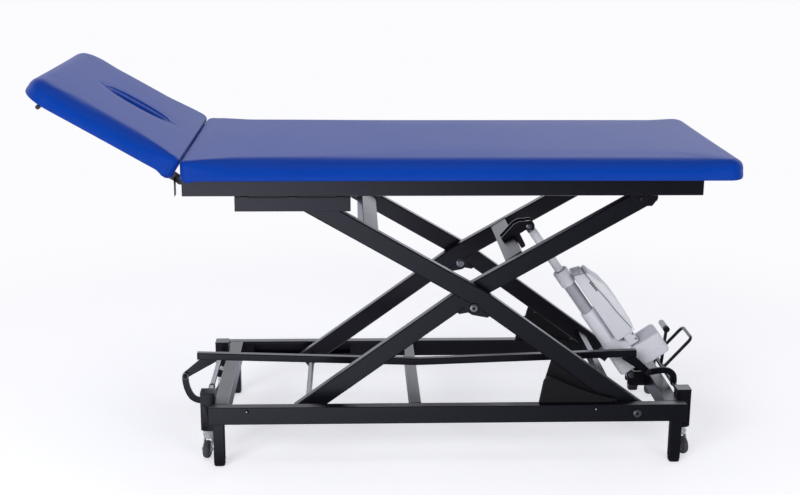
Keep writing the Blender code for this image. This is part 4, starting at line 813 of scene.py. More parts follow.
def foldDepth(p, form, look, fold=foldLook):
    # small folds: out from both tips of the slot, a raised rim round it, and tucks at the hinge corners
    x, y, z = p.T
    depth = np.zeros(len(p))
    if form.slotLine is not None:
        dish = look["slot"]["dish"]
        upper = clamped((z - form.bottom - fold["upFrom"]) / fold["upRun"])
        for side in (-1, 1):
            out = side * (x - form.slotX) - dish["half"]
            run = clamped((out + fold["tipLead"]) / fold["tipLead"]) * clamped(1 - out / fold["tipRun"])
            depth += fold["tip"] * run * upper * np.exp(-(y / fold["tipWide"]) ** 2)
        width = form.dishWidth(x)
        rim = (np.abs(y) - dish["wide"] * width - fold["ridgeOut"]) / fold["ridgeWide"]
        depth -= fold["ridge"] * upper * np.exp(-rim ** 2) * clamped(width * 3)
    end = look["hingeEnd"]
    radius = look["highCorner"] if end > 0 else look["lowCorner"]
    low = clamped(1 - (z - form.bottom) / fold["tuckRise"])
    centreX = form.endX - end * radius
    for side in (-1, 1):
        centreY = side * (form.halfWidth - radius)
        turn = np.arctan2(side * (y - centreY), end * (x - centreX))
        outside = np.hypot(x - centreX, y - centreY) > radius * fold["tuckInner"]
        for place in fold["tuckAt"]:
            depth += fold["tuck"] * outside * low * np.exp(-((turn - place) / fold["tuckWide"]) ** 2)
    return depth


def throughModifier(pad, kind, **settings):
    # the pad's mesh after one modifier, which is then taken off
    modifier = pad.modifiers.new(kind.lower(), kind)
    for key, value in settings.items():
        setattr(modifier, key, value)
    made = evaluatedCopy(pad)
    pad.modifiers.remove(modifier)
    pad.data = made
    return made


def buildPad(node, look):
    hinge = jointPlace("head_tilt")
    level = Matrix.Rotation(-math.radians(look["tilt"]), 4, "Y")
    turn = Matrix.Translation(hinge) @ level @ Matrix.Translation(-hinge)
    cushion = frame["nodes"][node].data
    solid = np.array([turn @ v.co for v in cushion.vertices], float)
    form = PadForm(look, solid.min(0), solid.max(0), hinge.x)
    bm = bmesh.new()
    for source in (node, look["board"]):
        bm.from_mesh(frame["nodes"][source].data)
    bmesh.ops.remove_doubles(bm, verts=bm.verts, dist=0.00002)
    bm.transform(turn)
    if form.slotLine is not None:
        form.liningInto(bm)
    pad = linked(look["name"], meshFrom(look["name"], bm))
    even = throughModifier(pad, "REMESH", mode="VOXEL", voxel_size=look["voxel"])
    writePoints(even, form.settle(readPoints(even)))
    smooth = throughModifier(pad, "SMOOTH", factor=0.5, iterations=3)
    points = form.settle(readPoints(smooth), 3)
    writePoints(smooth, points)
    swell(pad, [int(i) for i in np.nonzero(form.held(points) > 0.5)[0]], look["cap"])
    done = throughModifier(pad, "SUBSURF", levels=1, render_levels=1)
    bpy.data.objects.remove(pad)
    points = readPoints(done)
    hold = form.held(points)
    fixed = hold > 0
    points[fixed] += hold[fixed, None] * (form.settle(points[fixed], 2) - points[fixed])
    writePoints(done, points)
    normals = np.array([v.normal for v in done.vertices], float)
    writePoints(done, points - normals * foldDepth(points, form, look)[:, None])
    done.transform(turn.inverted())
    done.shade_smooth()
    piece = addPiece(look["name"], done, "vinyl", bodyOf(node), (node,))
    print("pad made:", look["name"], len(done.polygons), "faces")


for node, look in padLook.items():
    buildPad(node, look)


# drive: stepped barrel, gear case, motor box and control box, laid out along the actuator's axis

driveLook = {
    "shell": {"from": 0.100, "to": 0.235, "radius": 0.022},
    "tube": {"from": 0.232, "to": 0.338, "radius": 0.018},
    "collar": {"from": 0.335, "to": 0.385, "radius": 0.022, "wiper": 0.0157},
    "bore": 0.0131,
    "gear": {"from": 0.018, "to": 0.122, "half": 0.038, "low": -0.024, "high": 0.0485, "corner": 0.011,
             "round": 0.008, "grooves": (0.046, 0.074), "grooveSize": (0.0011, 0.0010),
             "shoulder": 0.026, "neck": 0.0235, "neckLift": 0.001, "neckCorner": 0.010},
    "motor": {"from": 0.008, "to": 0.078, "half": 0.046, "low": 0.046, "high": 0.136, "corner": 0.013,
              "round": 0.009, "split": 0.034, "splitSize": (0.0010, 0.0011), "screwY": 0.034,
              "screwIn": 0.014},
    "eye": {"radius": 0.014, "half": 0.014, "boltHead": 0.0085, "ear": 0.0207, "neck": 0.026,
            "neckCorner": 0.003},
}
driveFoot = jointPlace("actuator_swing")
driveAxis = jointAxis("rod_extend")
driveUp = Vector((driveAxis.z, 0.0, -driveAxis.x))
driveTurn = Matrix((-driveAxis, Vector((0, 1, 0)), driveUp)).transposed().to_4x4()
driveFrame = Matrix.Translation(driveFoot) @ driveTurn
alongDrive = driveFrame @ Matrix.Rotation(math.radians(-90.0), 4, "Y")


def driveSide(along, side, up):
    # frame on one side of the drive, looking outwards, its first axis along the drive
    turn = Matrix.Rotation(math.radians(90.0 if side < 0 else -90.0), 4, "X")
    return driveFrame @ Matrix.Translation((-along, side, up)) @ turn


def acrossDrive(along):
    # frame on the drive's own axis that looks across the drive
    return driveFrame @ Matrix.Translation((-along, 0.0, 0.0)) @ Matrix.Rotation(math.radians(-90.0), 4, "X")


def driveSpot(along, side, up, aim):
    # place and outward direction of a stud on the drive
    return driveFrame @ Vector((-along, side, up)), driveFrame.to_3x3() @ Vector(aim)


def hollowInto(bm, profile, count, place):
    # turned ring: the profile's last row joins its first
    rings = [ringOf(bm, radius, height, count) for radius, height in profile]
    bridgeRings(bm, rings + [rings[0]], False, False)
    placeRings(bm, rings, place)


def loftInto(bm, stations, place, lean=lambda along, up: 0.0):
    # stations: place along the drive, and the outline there as side and height
    rings = [[bm.verts.new((lean(along, up) - along, y, up)) for y, up in outline]
             for along, outline in stations]
    bridgeRings(bm, rings)
    placeRings(bm, rings, place)


def boxOutline(half, low, high, corner, inset=0.0):
    middle = (low + high) / 2
    outline = roundedRect(half - inset, (high - low) / 2 - inset, max(corner - inset, 0.0006), 5)
    return [(y, middle + up) for y, up in outline]


def boxStations(box, pairs):
    # outlines of a box at each (place, inset) pair
    return [(a, boxOutline(box["half"], box["low"], box["high"], box["corner"], inset))
            for a, inset in pairs]


def addShape(name, bm, finish, body, replaces=()):
    bmesh.ops.recalc_face_normals(bm, faces=bm.faces)
    mesh = meshFrom(name, bm, turnedAngle)
    markEdges(mesh, 0.0030)
    return addPiece(name, mesh, finish, body, replaces)


def endRounds(start, stop, radius, steps=4):
    # (place, inset) pairs that round both ends of a loft
    pairs = [(start + radius * (1 - math.cos(t)), radius * (1 - math.sin(t)))
             for t in (math.pi / 2 * i / steps for i in range(steps + 1))]
    return pairs, [(stop - (place - start), inset) for place, inset in reversed(pairs)]


def grooveAt(place, width, depth):
    return [(place - width, 0.0), (place - width * 0.5, depth), (place + width * 0.5, depth),
            (place + width, 0.0)]


def buildDrive(look=driveLook):
    bore, shell, tube, collar = look["bore"], look["shell"], look["tube"], look["collar"]
    bm = bmesh.new()
    r, low, high = shell["radius"], shell["from"], shell["to"]
    hollowInto(bm, [(bore, low), (r, low), (r, high - 0.0020), (r - 0.0006, high - 0.0006),
                    (r - 0.0014, high), (bore, high)], 48, alongDrive)
    r, low, high = collar["radius"], collar["from"], collar["to"]
    hollowInto(bm, [(bore, low), (r - 0.0012, low), (r, low + 0.0012), (r, low + 0.011),
                    (r - 0.0006, low + 0.0115), (r - 0.0006, low + 0.0130), (r, low + 0.0135),
                    (r + 0.0003, high - 0.0035), (r - 0.0006, high - 0.0012), (r - 0.0022, high),
                    (0.0165, high), (0.0158, high - 0.0012), (bore, high - 0.0012)], 48, alongDrive)
    gear = look["gear"]
    pairs = endRounds(gear["from"], gear["to"], gear["round"])[0]
    for groove in gear["grooves"]:
        pairs = pairs + grooveAt(groove, *gear["grooveSize"])
    stations = boxStations(gear, pairs)
    shoulder = gear["to"] - gear["shoulder"]
    for t in (0.0, 0.12, 0.3, 0.55, 0.8, 1.0):
        ease = eased(t)
        half = gear["half"] + (gear["neck"] - gear["half"]) * ease
        high = gear["high"] + (gear["neck"] - gear["high"]) * ease
        outline = boxOutline(half, gear["low"] + gear["neckLift"] * ease, high,
                             gear["corner"] + gear["neckCorner"] * ease)
        stations.append((shoulder + t * gear["shoulder"], outline))
    loftInto(bm, stations, driveFrame)
    eye = look["eye"]
    r, h = eye["radius"], eye["half"]
    loftInto(bm, [(a, boxOutline(h, -r, r, eye["neckCorner"])) for a in (0.0, eye["neck"])], driveFrame)
    turnedInto(bm, mirrored([(0.004, -h), (r - 0.001, -h), (r, -h + 0.001)]), 36, acrossDrive(0.0))
    addShape("driveHousing", bm, "drive", "actuator", ("actuator_housing",))

    motor = look["motor"]
    bm = bmesh.new()
    start, stop = endRounds(motor["from"], motor["to"], motor["round"], 5)
    split = grooveAt(motor["split"], *motor["splitSize"])
    loftInto(bm, boxStations(motor, start + split + stop), driveFrame)
    addShape("motorBox", bm, "drive", "actuator")

    bm = bmesh.new()
    r, low, high = tube["radius"], tube["from"], tube["to"]
    hollowInto(bm, [(bore, low), (r, low), (r, high), (bore, high)], 48, alongDrive)
    addShape("driveTube", bm, "driveTube", "actuator")
    bm = bmesh.new()
    r, inner, high = collar["wiper"], bore - 0.0003, collar["to"]
    hollowInto(bm, [(inner, high - 0.0020), (r, high - 0.0020), (r, high - 0.0004),
                    (r - 0.0011, high + 0.0006), (inner, high - 0.0002)], 40, alongDrive)
    addShape("rodWiper", bm, "driveTube", "actuator")

    ear, head, flange = eye["ear"], eye["boltHead"], eye["boltHead"] * 1.05
    bm = bmesh.new()
    turnedInto(bm, [(0.002, -ear - 0.0058), (head * 0.80, -ear - 0.0058, 6), (head, -ear - 0.0050, 6),
                    (head, -ear - 0.0012, 6), (flange, -ear - 0.0010), (flange, -ear), (0.005, -ear),
                    (0.005, ear), (flange, ear), (flange, ear + 0.0010), (head, ear + 0.0012, 6),
                    (head, ear + 0.0066, 6), (head * 0.80, ear + 0.0074, 6), (0.0050, ear + 0.0074),
                    (0.0046, ear + 0.0095), (0.002, ear + 0.0095)], 36, acrossDrive(0.0))
    addShape("driveFootBolt", bm, "zinc", "actuator")
    spots = [driveSpot(motor["from"], y, up, (1, 0, 0)) for y in (-motor["screwY"], motor["screwY"])
             for up in (motor["low"] + motor["screwIn"], motor["high"] - motor["screwIn"])]
    screw = [(0.0005, -0.0004), (0.0012, -0.0004), (0.0012, 0.0006), (0.0030, 0.0006), (0.0034, 0.0),
             (0.0034, -0.0006), (0.0006, -0.0006)]
    setStuds("motorScrews", "actuator", "driveSeam", screw, spots)
    print("drive made")


controlLook = {
    "from": 0.121, "to": 0.358, "half": 0.0440, "low": 0.0223, "gap": 0.0008, "lean": 0.40,
    "leanFrom": 0.030, "leanRun": 0.060, "stations": 44,
    "crossLine": {"along": 0.2068, "steps": (-0.0011, -0.0005, 0.0005, 0.0011), "half": 0.0007,
                  "depth": 0.0009},
    "coreInset": 0.0015,
    "crest": [(0.121, 0.0818), (0.130, 0.0845), (0.155, 0.0885), (0.205, 0.0903), (0.250, 0.0900),
              (0.298, 0.0828), (0.336, 0.0715), (0.358, 0.0668)],
    "seam": [(0.121, 0.0795), (0.133, 0.0783), (0.155, 0.0749), (0.199, 0.0686), (0.248, 0.0656),
             (0.291, 0.0593), (0.331, 0.0570), (0.358, 0.0550)],
    "vents": {"from": 0.3165, "pitch": -0.0072, "count": 5, "up": 0.0535, "slope": 0.0006, "radius": 0.0027},
    "latch": {"along": 0.2097, "up": 0.0477, "half": 0.0118, "halfUp": 0.0078},
    "dot": {"along": 0.3500, "up": 0.0435, "radius": 0.0020},
    "cover": {"from": 0.084, "to": 0.124, "half": 0.0400, "low": 0.0440, "high": 0.0765, "corner": 0.0060,
              "round": 0.0050},
    "plugs": {"y": 0.026, "up": (0.0330, 0.0480), "sink": 0.0006},
    "coverScrews": [(0.0955, 0.0715), (0.1140, 0.0715)],
}


def follow(line, along):
    # smooth height of a drawn line at a place along the box
    places = np.array([p for p, _ in line])
    heights = np.array([h for _, h in line])
    spread = np.linspace(-0.010, 0.010, 9)
    return float(np.mean(np.interp(along + spread, places, heights)))


def buildControlBox(look=controlLook):
    start, stop, gap, line = look["from"], look["to"], look["gap"], look["crossLine"]
    half = look["half"]

    def lean(along, up):
        # the upper end of the box slopes back
        share = min(1.0, max(0.0, 1 - (stop - along) / look["leanRun"]))
        return look["lean"] * max(0.0, up - look["leanFrom"]) * share

    def crest(a):
        return follow(look["crest"], a)

    def seam(a):
        return follow(look["seam"], a)

    places = [start + (stop - start) * i / look["stations"] for i in range(look["stations"] + 1)]
    places += [line["along"] + step for step in line["steps"]]
    bands = {
        "controlCase": {"low": lambda a: look["low"], "high": lambda a: seam(a) - gap, "half": half,
                        "corner": 0.0045, "finish": "drive", "end": 0.0030},
        "controlLid": {"low": lambda a: seam(a) + gap, "high": crest, "half": half + 0.0003,
                       "corner": 0.0058, "finish": "lid", "end": 0.0050},
        "controlCore": {"low": lambda a: look["low"] + 0.003, "high": lambda a: crest(a) - 0.004,
                        "half": half - 0.0022, "corner": 0.002, "finish": "driveSeam", "end": 0.0020},
    }
    for name, band in bands.items():
        bm = bmesh.new()
        rings = []
        for a in sorted(places):
            away = min(a - start, stop - a)
            inset = 0.0
            if away < band["end"]:
                t = 1 - away / band["end"]
                inset = band["end"] * 0.55 * (1 - math.sqrt(max(0.0, 1 - t * t)))
            if name == "controlLid" and abs(a - line["along"]) < line["half"]:
                inset = line["depth"]
            if name == "controlCore":
                inset += look["coreInset"]
            low, high = band["low"](a), band["high"](a)
            corner = min(band["corner"], (high - low) / 2 - 0.0004)
            inset = min(inset, corner * 0.8)
            rings.append((a, boxOutline(band["half"], low, high, corner, inset)))
        if name == "controlCore":
            rings = rings[1:-1]
        loftInto(bm, rings, driveFrame, lean)
        if name == "controlCase":
            latch, dot = look["latch"], look["dot"]
            for side in (-1, 1):
                edge = side * (half - 0.0004)
                slabInto(bm, latch["half"], latch["halfUp"], 0.0016, 0.003, 0.0006,
                         driveSide(latch["along"], edge, latch["up"]))
                r = dot["radius"]
                turnedInto(bm, [(0.0004, 0.0004), (r * 0.6, 0.0004), (r * 0.7, 0.0010), (r, 0.0010),
                                (r, -0.001), (0.0004, -0.001)], 16, driveSide(dot["along"], edge, dot["up"]))
        replaced = ("control_box",) if name == "controlCase" else ()
        addShape(name, bm, band["finish"], "actuator", replaced)
    cover = look["cover"]
    first, last = endRounds(cover["from"], cover["to"], cover["round"])
    bm = bmesh.new()
    loftInto(bm, boxStations(cover, first + last), driveFrame)
    addShape("gearCover", bm, "drive", "actuator")

    vents = look["vents"]
    spots = []
    for side in (-1, 1):
        for i in range(vents["count"]):
            spots.append(driveSpot(vents["from"] + vents["pitch"] * i, side * (half + 0.0001),
                                   vents["up"] + vents["slope"] * i, (0, side, 0)))
    r = vents["radius"]
    # painted shade: dark discs stand where the vent holes show dark
    setStuds("controlVents", "actuator", "dark",
             [(0.0003, 0.0), (r * 0.75, 0.0), (r, 0.0002), (r, -0.0008), (0.0003, -0.0008)], spots, 1.0, 12)
    plugs = look["plugs"]
    knobs = [driveSpot(stop - lean(stop, up) - plugs["sink"], side * plugs["y"], up, (-1, 0, 0))
             for side in (-1, 1) for up in plugs["up"]]
    setStuds("controlPlugs", "actuator", "drive",
             [(0.001, 0.0042), (0.0040, 0.0042), (0.0048, 0.0036), (0.0052, 0.0), (0.001, -0.0015)], knobs,
             1.0, 20)
    spots = [driveSpot(along, side * (cover["half"] - 0.0002), up, (0, side, 0))
             for along, up in look["coverScrews"] for side in (-1, 1)]
    setStuds("coverScrews", "actuator", "zinc",
             [(0.0006, 0.0016), (0.0022, 0.0016), (0.0030, 0.0008), (0.0030, -0.001), (0.0006, -0.001)],
             spots)
    print("control box made")


rodLook = {"radius": 0.0125, "from": 0.2672, "ferrule": 0.531, "eye": 0.5510, "pinHead": 0.0085,
           "cheek": 0.0207, "fork": 0.0138, "forkHigh": 0.0118}


def buildRod(look=rodLook):
    r, f, low, eye, fork = look["radius"], look["ferrule"], look["from"], look["eye"], look["fork"]
    profile = [(0.002, low), (r - 0.001, low), (r, low + 0.001), (r, f + 0.004), (0.002, f + 0.004)]
    addPiece("pistonRod", turnedMesh("pistonRod", profile, 48, alongDrive), "rod", "actuator_rod_body",
             ("actuator_rod",))
    bm = bmesh.new()
    turnedInto(bm, [(0.003, f), (r + 0.0004, f), (r + 0.0010, f + 0.0008), (r + 0.0010, f + 0.0115),
                    (r - 0.0006, f + 0.0130), (0.003, f + 0.0130)], 40, alongDrive)
    outline = boxOutline(fork, -look["forkHigh"], look["forkHigh"], 0.002)
    loftInto(bm, [(a, outline) for a in (f + 0.010, eye)], driveFrame)
    turnedInto(bm, mirrored([(0.003, -fork), (0.0112, -fork), (0.0120, -0.0130)]), 36, acrossDrive(eye))
    cheek, head = look["cheek"], look["pinHead"]
    pin = mirrored([(0.001, -cheek - 0.0045), (head * 0.7, -cheek - 0.0045), (head, -cheek - 0.0030),
                    (head, -cheek), (0.005, -cheek)])
    turnedInto(bm, pin, 28, acrossDrive(eye))
    addShape("rodClevis", bm, "zinc", "actuator_rod_body")
    print("rod and clevis made")


buildDrive()
buildControlBox()
buildRod()


# pivot bolts

boltLook = {"headRadius": 0.012, "headHeight": 0.005, "nutRadius": 0.0125, "nutHeight": 0.009,
            "socket": 0.0046, "socketDepth": 0.0026, "shankRadius": 0.006, "washer": 0.0142}


def buildPivotBolts(look=boltLook):
    washers, sockets = {}, {}
    r, h, s, d = look["headRadius"], look["headHeight"], look["socket"], look["socketDepth"]
    shank, nut, w = look["shankRadius"], look["nutRadius"], look["washer"]
    for node in sorted(n for n in frame["nodes"] if "pivot_bolt" in n):
        low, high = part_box(node)
        side = -1 if node.endswith("front") else 1
        x, z = (low.x + high.x) / 2, (low.z + high.z) / 2
        outer = low.y if side < 0 else high.y
        reach = high.y - low.y
        nutLow = reach - look["nutHeight"]
        profile = [(s * 0.2, d, 6), (s, d, 6), (s, 0.0003, 6), (s * 1.25, 0.0), (r * 0.66, 0.0),
                   (r * 0.86, h * 0.16), (r * 0.97, h * 0.42), (r, h * 0.72), (r, h - 0.0003),
                   (shank, h - 0.0003), (shank, nutLow), (nut, nutLow), (nut, nutLow + 0.0015),
                   (nut * 0.9, nutLow + 0.002, 6), (nut * 0.9, reach - 0.001, 6), (nut * 0.76, reach, 6),
                   (shank, reach), (shank * 0.3, reach)]
        place = facing((x, outer, z), (0, -side, 0))
        finish = "bolt" if node.startswith("top_") else "zinc"
        name, body, outward = node + "Look", bodyOf(node), Vector((0, side, 0))
        addPiece(name, turnedMesh(name, profile, 48, place, 30.0), finish, body, (node,))
        washers.setdefault(body, []).append((Vector((x, outer - side * (h + 0.0001), z)), outward))
        sockets.setdefault(body, []).append((Vector((x, outer - side * d, z)), outward))
    # painted shade: a black hex disc at the bottom of each socket
    floor = [(0.0003, 0.0004), (s * 0.98, 0.0004, 6), (s * 0.98, -0.0004, 6), (0.0003, -0.0004)]
    for body, places in sockets.items():
        setStuds(body + "Sockets", body, "bolt", floor, places, 1.0, 24)
    ring = [(0.0065, 0.0012), (w - 0.0006, 0.0012), (w, 0.0006), (w, 0.0), (0.0065, 0.0)]
    for body, places in washers.items():
        setStuds(body + "Washers", body, "dark", ring, places, 1.0, 32)
    print("pivot bolts made")


buildPivotBolts()


# castors

castorLook = {
    "tyre": mirrored([(0.0165, -0.0066), (0.0185, -0.0074), (0.0225, -0.0074), (0.0241, -0.0052),
                      (0.0249, -0.0024)], (0.0250, 0.0)),
    "hub": mirrored([(0.0043, -0.0085), (0.0068, -0.0085), (0.0078, -0.0070), (0.0100, -0.0050),
                     (0.0140, -0.0050), (0.0150, -0.0068), (0.0168, -0.0070)]),
    # turned top of the fork, by radius and height over the floor: plate, neck, ball race and crown
    "top": [(0.004, 0.0796), (0.0168, 0.0796), (0.0175, 0.0790), (0.0175, 0.0776), (0.0168, 0.0770),
            (0.0110, 0.0768), (0.0104, 0.0760), (0.0104, 0.0718), (0.0150, 0.0712), (0.0172, 0.0698),
            (0.0176, 0.0672), (0.0170, 0.0646), (0.0138, 0.0636), (0.0124, 0.0630), (0.0124, 0.0604),
            (0.0154, 0.0600), (0.0162, 0.0592), (0.0162, 0.0570), (0.0154, 0.0562), (0.004, 0.0562)],
    "leg": {"top": 0.0592, "back": -0.0075, "front": 0.0120, "round": 0.0068, "inner": 0.0095,
            "outer": 0.0118},
    "nut": [(0.0012, 0.0155), (0.0040, 0.0155), (0.0040, 0.0148), (0.0052, 0.0148, 6), (0.0062, 0.0142, 6),
            (0.0062, 0.0117, 6), (0.0012, 0.0117)],
}


def buildCastors(look=castorLook):
    for c in corners:
        centre = jointPlace("roll_" + c)
        axle = jointAxis("roll_" + c)
        stand = jointPlace("swivel_" + c)
        across = facing(centre, axle)
        for ring, finish, replaced in (("tyre", "tread", ("castor_wheel_" + c,)), ("hub", "hub", ())):
            bm = bmesh.new()
            hollowInto(bm, look[ring], 48, across)
            addShape(ring + "_" + c, bm, finish, "wheel_" + c, replaced)
        bm = bmesh.new()
        turnedInto(bm, look["top"], 40, Matrix.Translation((stand.x, stand.y, 0.0)))
        leg = look["leg"]
        trail = Vector((centre.x - stand.x, centre.y - stand.y, 0.0))
        back = trail.normalized()
        outline = [(leg["back"], leg["top"]), (leg["front"], leg["top"])]
        for t in (math.pi * i / 12 for i in range(13)):
            outline.append((trail.length + leg["round"] * math.cos(t),
                            centre.z - leg["round"] * math.sin(t)))
        for side in (-1, 1):
            rings = [[bm.verts.new(Vector((stand.x, stand.y, z)) + back * u + axle * (side * w))
                      for u, z in outline] for w in (leg["inner"], leg["outer"])]
            bridgeRings(bm, rings)
            turnedInto(bm, look["nut"], 24, facing(centre, side * axle))
        addShape("castorFork_" + c, bm, "paleZinc", "fork_" + c, ("castor_fork_" + c,))
    print("castors made")


buildCastors()


# pedal lever grip

gripLook = {"reach": 0.111, "angle": 85.0, "y": 0.050, "from": -0.0055, "to": 0.0655, "radius": 0.0089,
            "collar": 0.013}


def buildGrip(look=gripLook):
    shaft = jointPlace("pedal")
    lean = math.radians(look["angle"])
    tip = shaft + Vector((look["reach"] * math.cos(lean), look["y"], look["reach"] * math.sin(lean)))
    place = facing(tip, (0, 1, 0))
    low, high, r = look["from"], look["to"], look["radius"]
    seam = low + look["collar"]
    bm = bmesh.new()
    turnedInto(bm, [(0.002, low), (r - 0.0005, low), (r + 0.0006, low + 0.0012), (r + 0.0006, seam - 0.0008),
                    (r, seam), (0.002, seam)],
               40, place)
    addShape("gripCollar", bm, "plastic", "foot_lift")
    bm = bmesh.new()
    turnedInto(bm, [(0.002, seam), (r - 0.0003, seam), (r, seam + 0.0008), (r, high - 0.0030),
                    (r - 0.0009, high - 0.0009), (r - 0.0030, high), (0.002, high + 0.0003)], 40, place)
    addShape("leverGrip", bm, "grip", "foot_lift")


buildGrip()


# end caps, rail screws and weld seams

railLook = {"inner": 0.260, "outer": 0.290, "base": (0.122, 0.172), "top": (0.7585, 0.8085)}
capLook = {"thick": 0.0016, "edge": 0.0007, "in": 0.0004, "corner": 0.003, "sleeve": 0.0204,
           "sleeveTop": 0.1888, "sleeveThick": 0.0018, "link": 0.0097, "linkZ": 0.256,
           "linkX": (-0.535, 0.7115), "linkY": -0.100}
stripLook = {"x": (-0.5055, 0.8330), "y": 0.2328, "middle": 0.1215, "half": 0.0365, "halfWide": 0.0085,
             "thick": 0.0012, "edge": 0.0006}
screwHead = [(0.0004, 0.0022), (0.0017, 0.0022, 6), (0.0020, 0.0036, 6), (0.0034, 0.0036), (0.0050, 0.0026),
             (0.0059, 0.0010), (0.0061, 0.0), (0.0061, -0.001), (0.0004, -0.001)]
screwLook = {
    "railScrews": {"body": "base", "finish": "bolt", "size": 1.0, "out": 1,
                   "places": [(-0.385, 0.290, 0.160), (0.568, 0.290, 0.160)]},
    # painted highlight: a small pale dot on the upper left of each black rail screw head
    "railDots": {"body": "base", "finish": "paleZinc", "size": 0.36, "out": 1,
                 "places": [(-0.386, 0.2932, 0.1612), (0.567, 0.2932, 0.1612)]},
    "sleeveBolts": {"body": "base", "finish": "paleZinc", "size": 1.25, "out": -1,
                    "places": [(-0.4994, 0.193, 0.1108), (0.8268, 0.193, 0.1108)]},
    "guardScrewsInside": {"body": "outer_arms", "finish": "zinc", "size": 0.5, "out": -1,
                          "places": [(0.4675, 0.2405, 0.2702), (0.5846, 0.2405, 0.1823)]},
    "guardScrewsOutside": {"body": "outer_arms", "finish": "bolt", "size": 0.6, "out": 1,
                           "places": [(0.4675, 0.2445, 0.2702), (0.5846, 0.2445, 0.1823)]},
    "armScrews": {"body": "outer_arms", "finish": "bolt", "size": 0.6, "out": 1,
                  "places": [(0.186, 0.2575, 0.4705)]},
}
pinLook = {"y": -0.1117, "washerY": -0.1087, "size": 1.2, "head_lift": "link_swing",
           "foot_lift": (0.7505, 0.1975)}


def endPlace(x, y, z, direction):
    # frame on the end of a tube that lies along x, looking outwards
    return Matrix.Translation((x, y, z)) @ Matrix.Rotation(math.radians(direction * 90.0), 4, "Y")


def buildCaps(look=capLook, strip=stripLook):
    halfWide = (railLook["outer"] - railLook["inner"]) / 2
    middleY = (railLook["outer"] + railLook["inner"]) / 2
    for body, node, key in (("base", "front_base_rail", "base"), ("top_frame", "top_rail_front", "top")):
        low, high = railLook[key]
        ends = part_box(node)
        bm = bmesh.new()
        for x, direction in ((ends[0].x, -1), (ends[1].x, 1)):
            for side in sides.values():
                place = endPlace(x, side * middleY, (low + high) / 2, direction)
                slabInto(bm, (high - low) / 2 - look["in"], halfWide - look["in"], look["thick"],
                         look["corner"], look["edge"], place)
        if body == "base":
            for x in (jointPlace("pedal").x, jointPlace("head_crank").x):
                for side in sides.values():
                    y = jointPlace("swivel_foot_rear").y * side
                    slabInto(bm, look["sleeve"], look["sleeve"], look["sleeveThick"], 0.0035, 0.0010,
                             Matrix.Translation((x, y, look["sleeveTop"])))
        addShape(body + "EndCaps", bm, "plastic", body)
    bm = bmesh.new()
    for x in strip["x"]:
        for side in sides.values():
            slabInto(bm, strip["halfWide"], strip["half"], strip["thick"], strip["halfWide"] - 0.0002,
                     strip["edge"], facing((x, side * strip["y"], strip["middle"]), (0, side, 0)))
    addShape("sleeveStrips", bm, "coat", "base")
    bm = bmesh.new()
    for x, direction in zip(look["linkX"], (-1, 1)):
        slabInto(bm, look["link"], look["link"], look["thick"], 0.002, look["edge"],
                 endPlace(x, look["linkY"], look["linkZ"], direction))
    addShape("linkEndCaps", bm, "plastic", "link")
    for name, screw in screwLook.items():
        places = [(Vector((x, side * y, z)), Vector((0, side * screw["out"], 0)))
                  for x, y, z in screw["places"] for side in sides.values()]
        setStuds(name, screw["body"], screw["finish"], screwHead, places, screw["size"], 24)
    headPin = jointPlace(pinLook["head_lift"])
    for body, (x, z) in (("head_lift", (headPin.x, headPin.z)), ("foot_lift", pinLook["foot_lift"])):
        toFront = Vector((0, -1, 0))
        setStuds(body + "Pin", body, "bolt", screwHead, [(Vector((x, pinLook["y"], z)), toFront)],
                 pinLook["size"], 24)
        ring = [(0.0046, 0.0), (0.0084, 0.0), (0.0088, 0.0004), (0.0088, 0.0012), (0.0046, 0.0012)]
        setStuds(body + "PinWasher", body, "zinc", ring, [(Vector((x, pinLook["washerY"], z)), toFront)],
                 1.0, 24)
    print("caps and screws made")


def armFrame(pivot, degrees):
    return Matrix.Translation(jointPlace(pivot)) @ Matrix.Rotation(math.radians(degrees), 4, "Y")


weldLook = {"endBars": ((0.765, 0.805), (-0.4775, -0.4375)), "midBar": (0.0605, 0.0905),
            "sleeves": (0.805, -0.4775), "sleeveY": (0.193, 0.233),
            "legs": ((-0.4785, -0.4485), (0.7785, 0.8085)),
            "topBars": ((-0.4685, -0.4385), (0.7715, 0.8015)), "topBarLow": 0.7785, "armDegrees": 33.11,
            "upperTube": (-0.912, -0.862, -0.0043, 0.0257), "lowerTube": (-0.108, -0.078, -0.0048, 0.0152),
            "liftTube": (0.136, 0.186, 0.0161, 0.0461), "stop": 0.003, "sink": 0.0006, "tubeSink": 0.0004,
            "legY": (0.263, 0.287)}


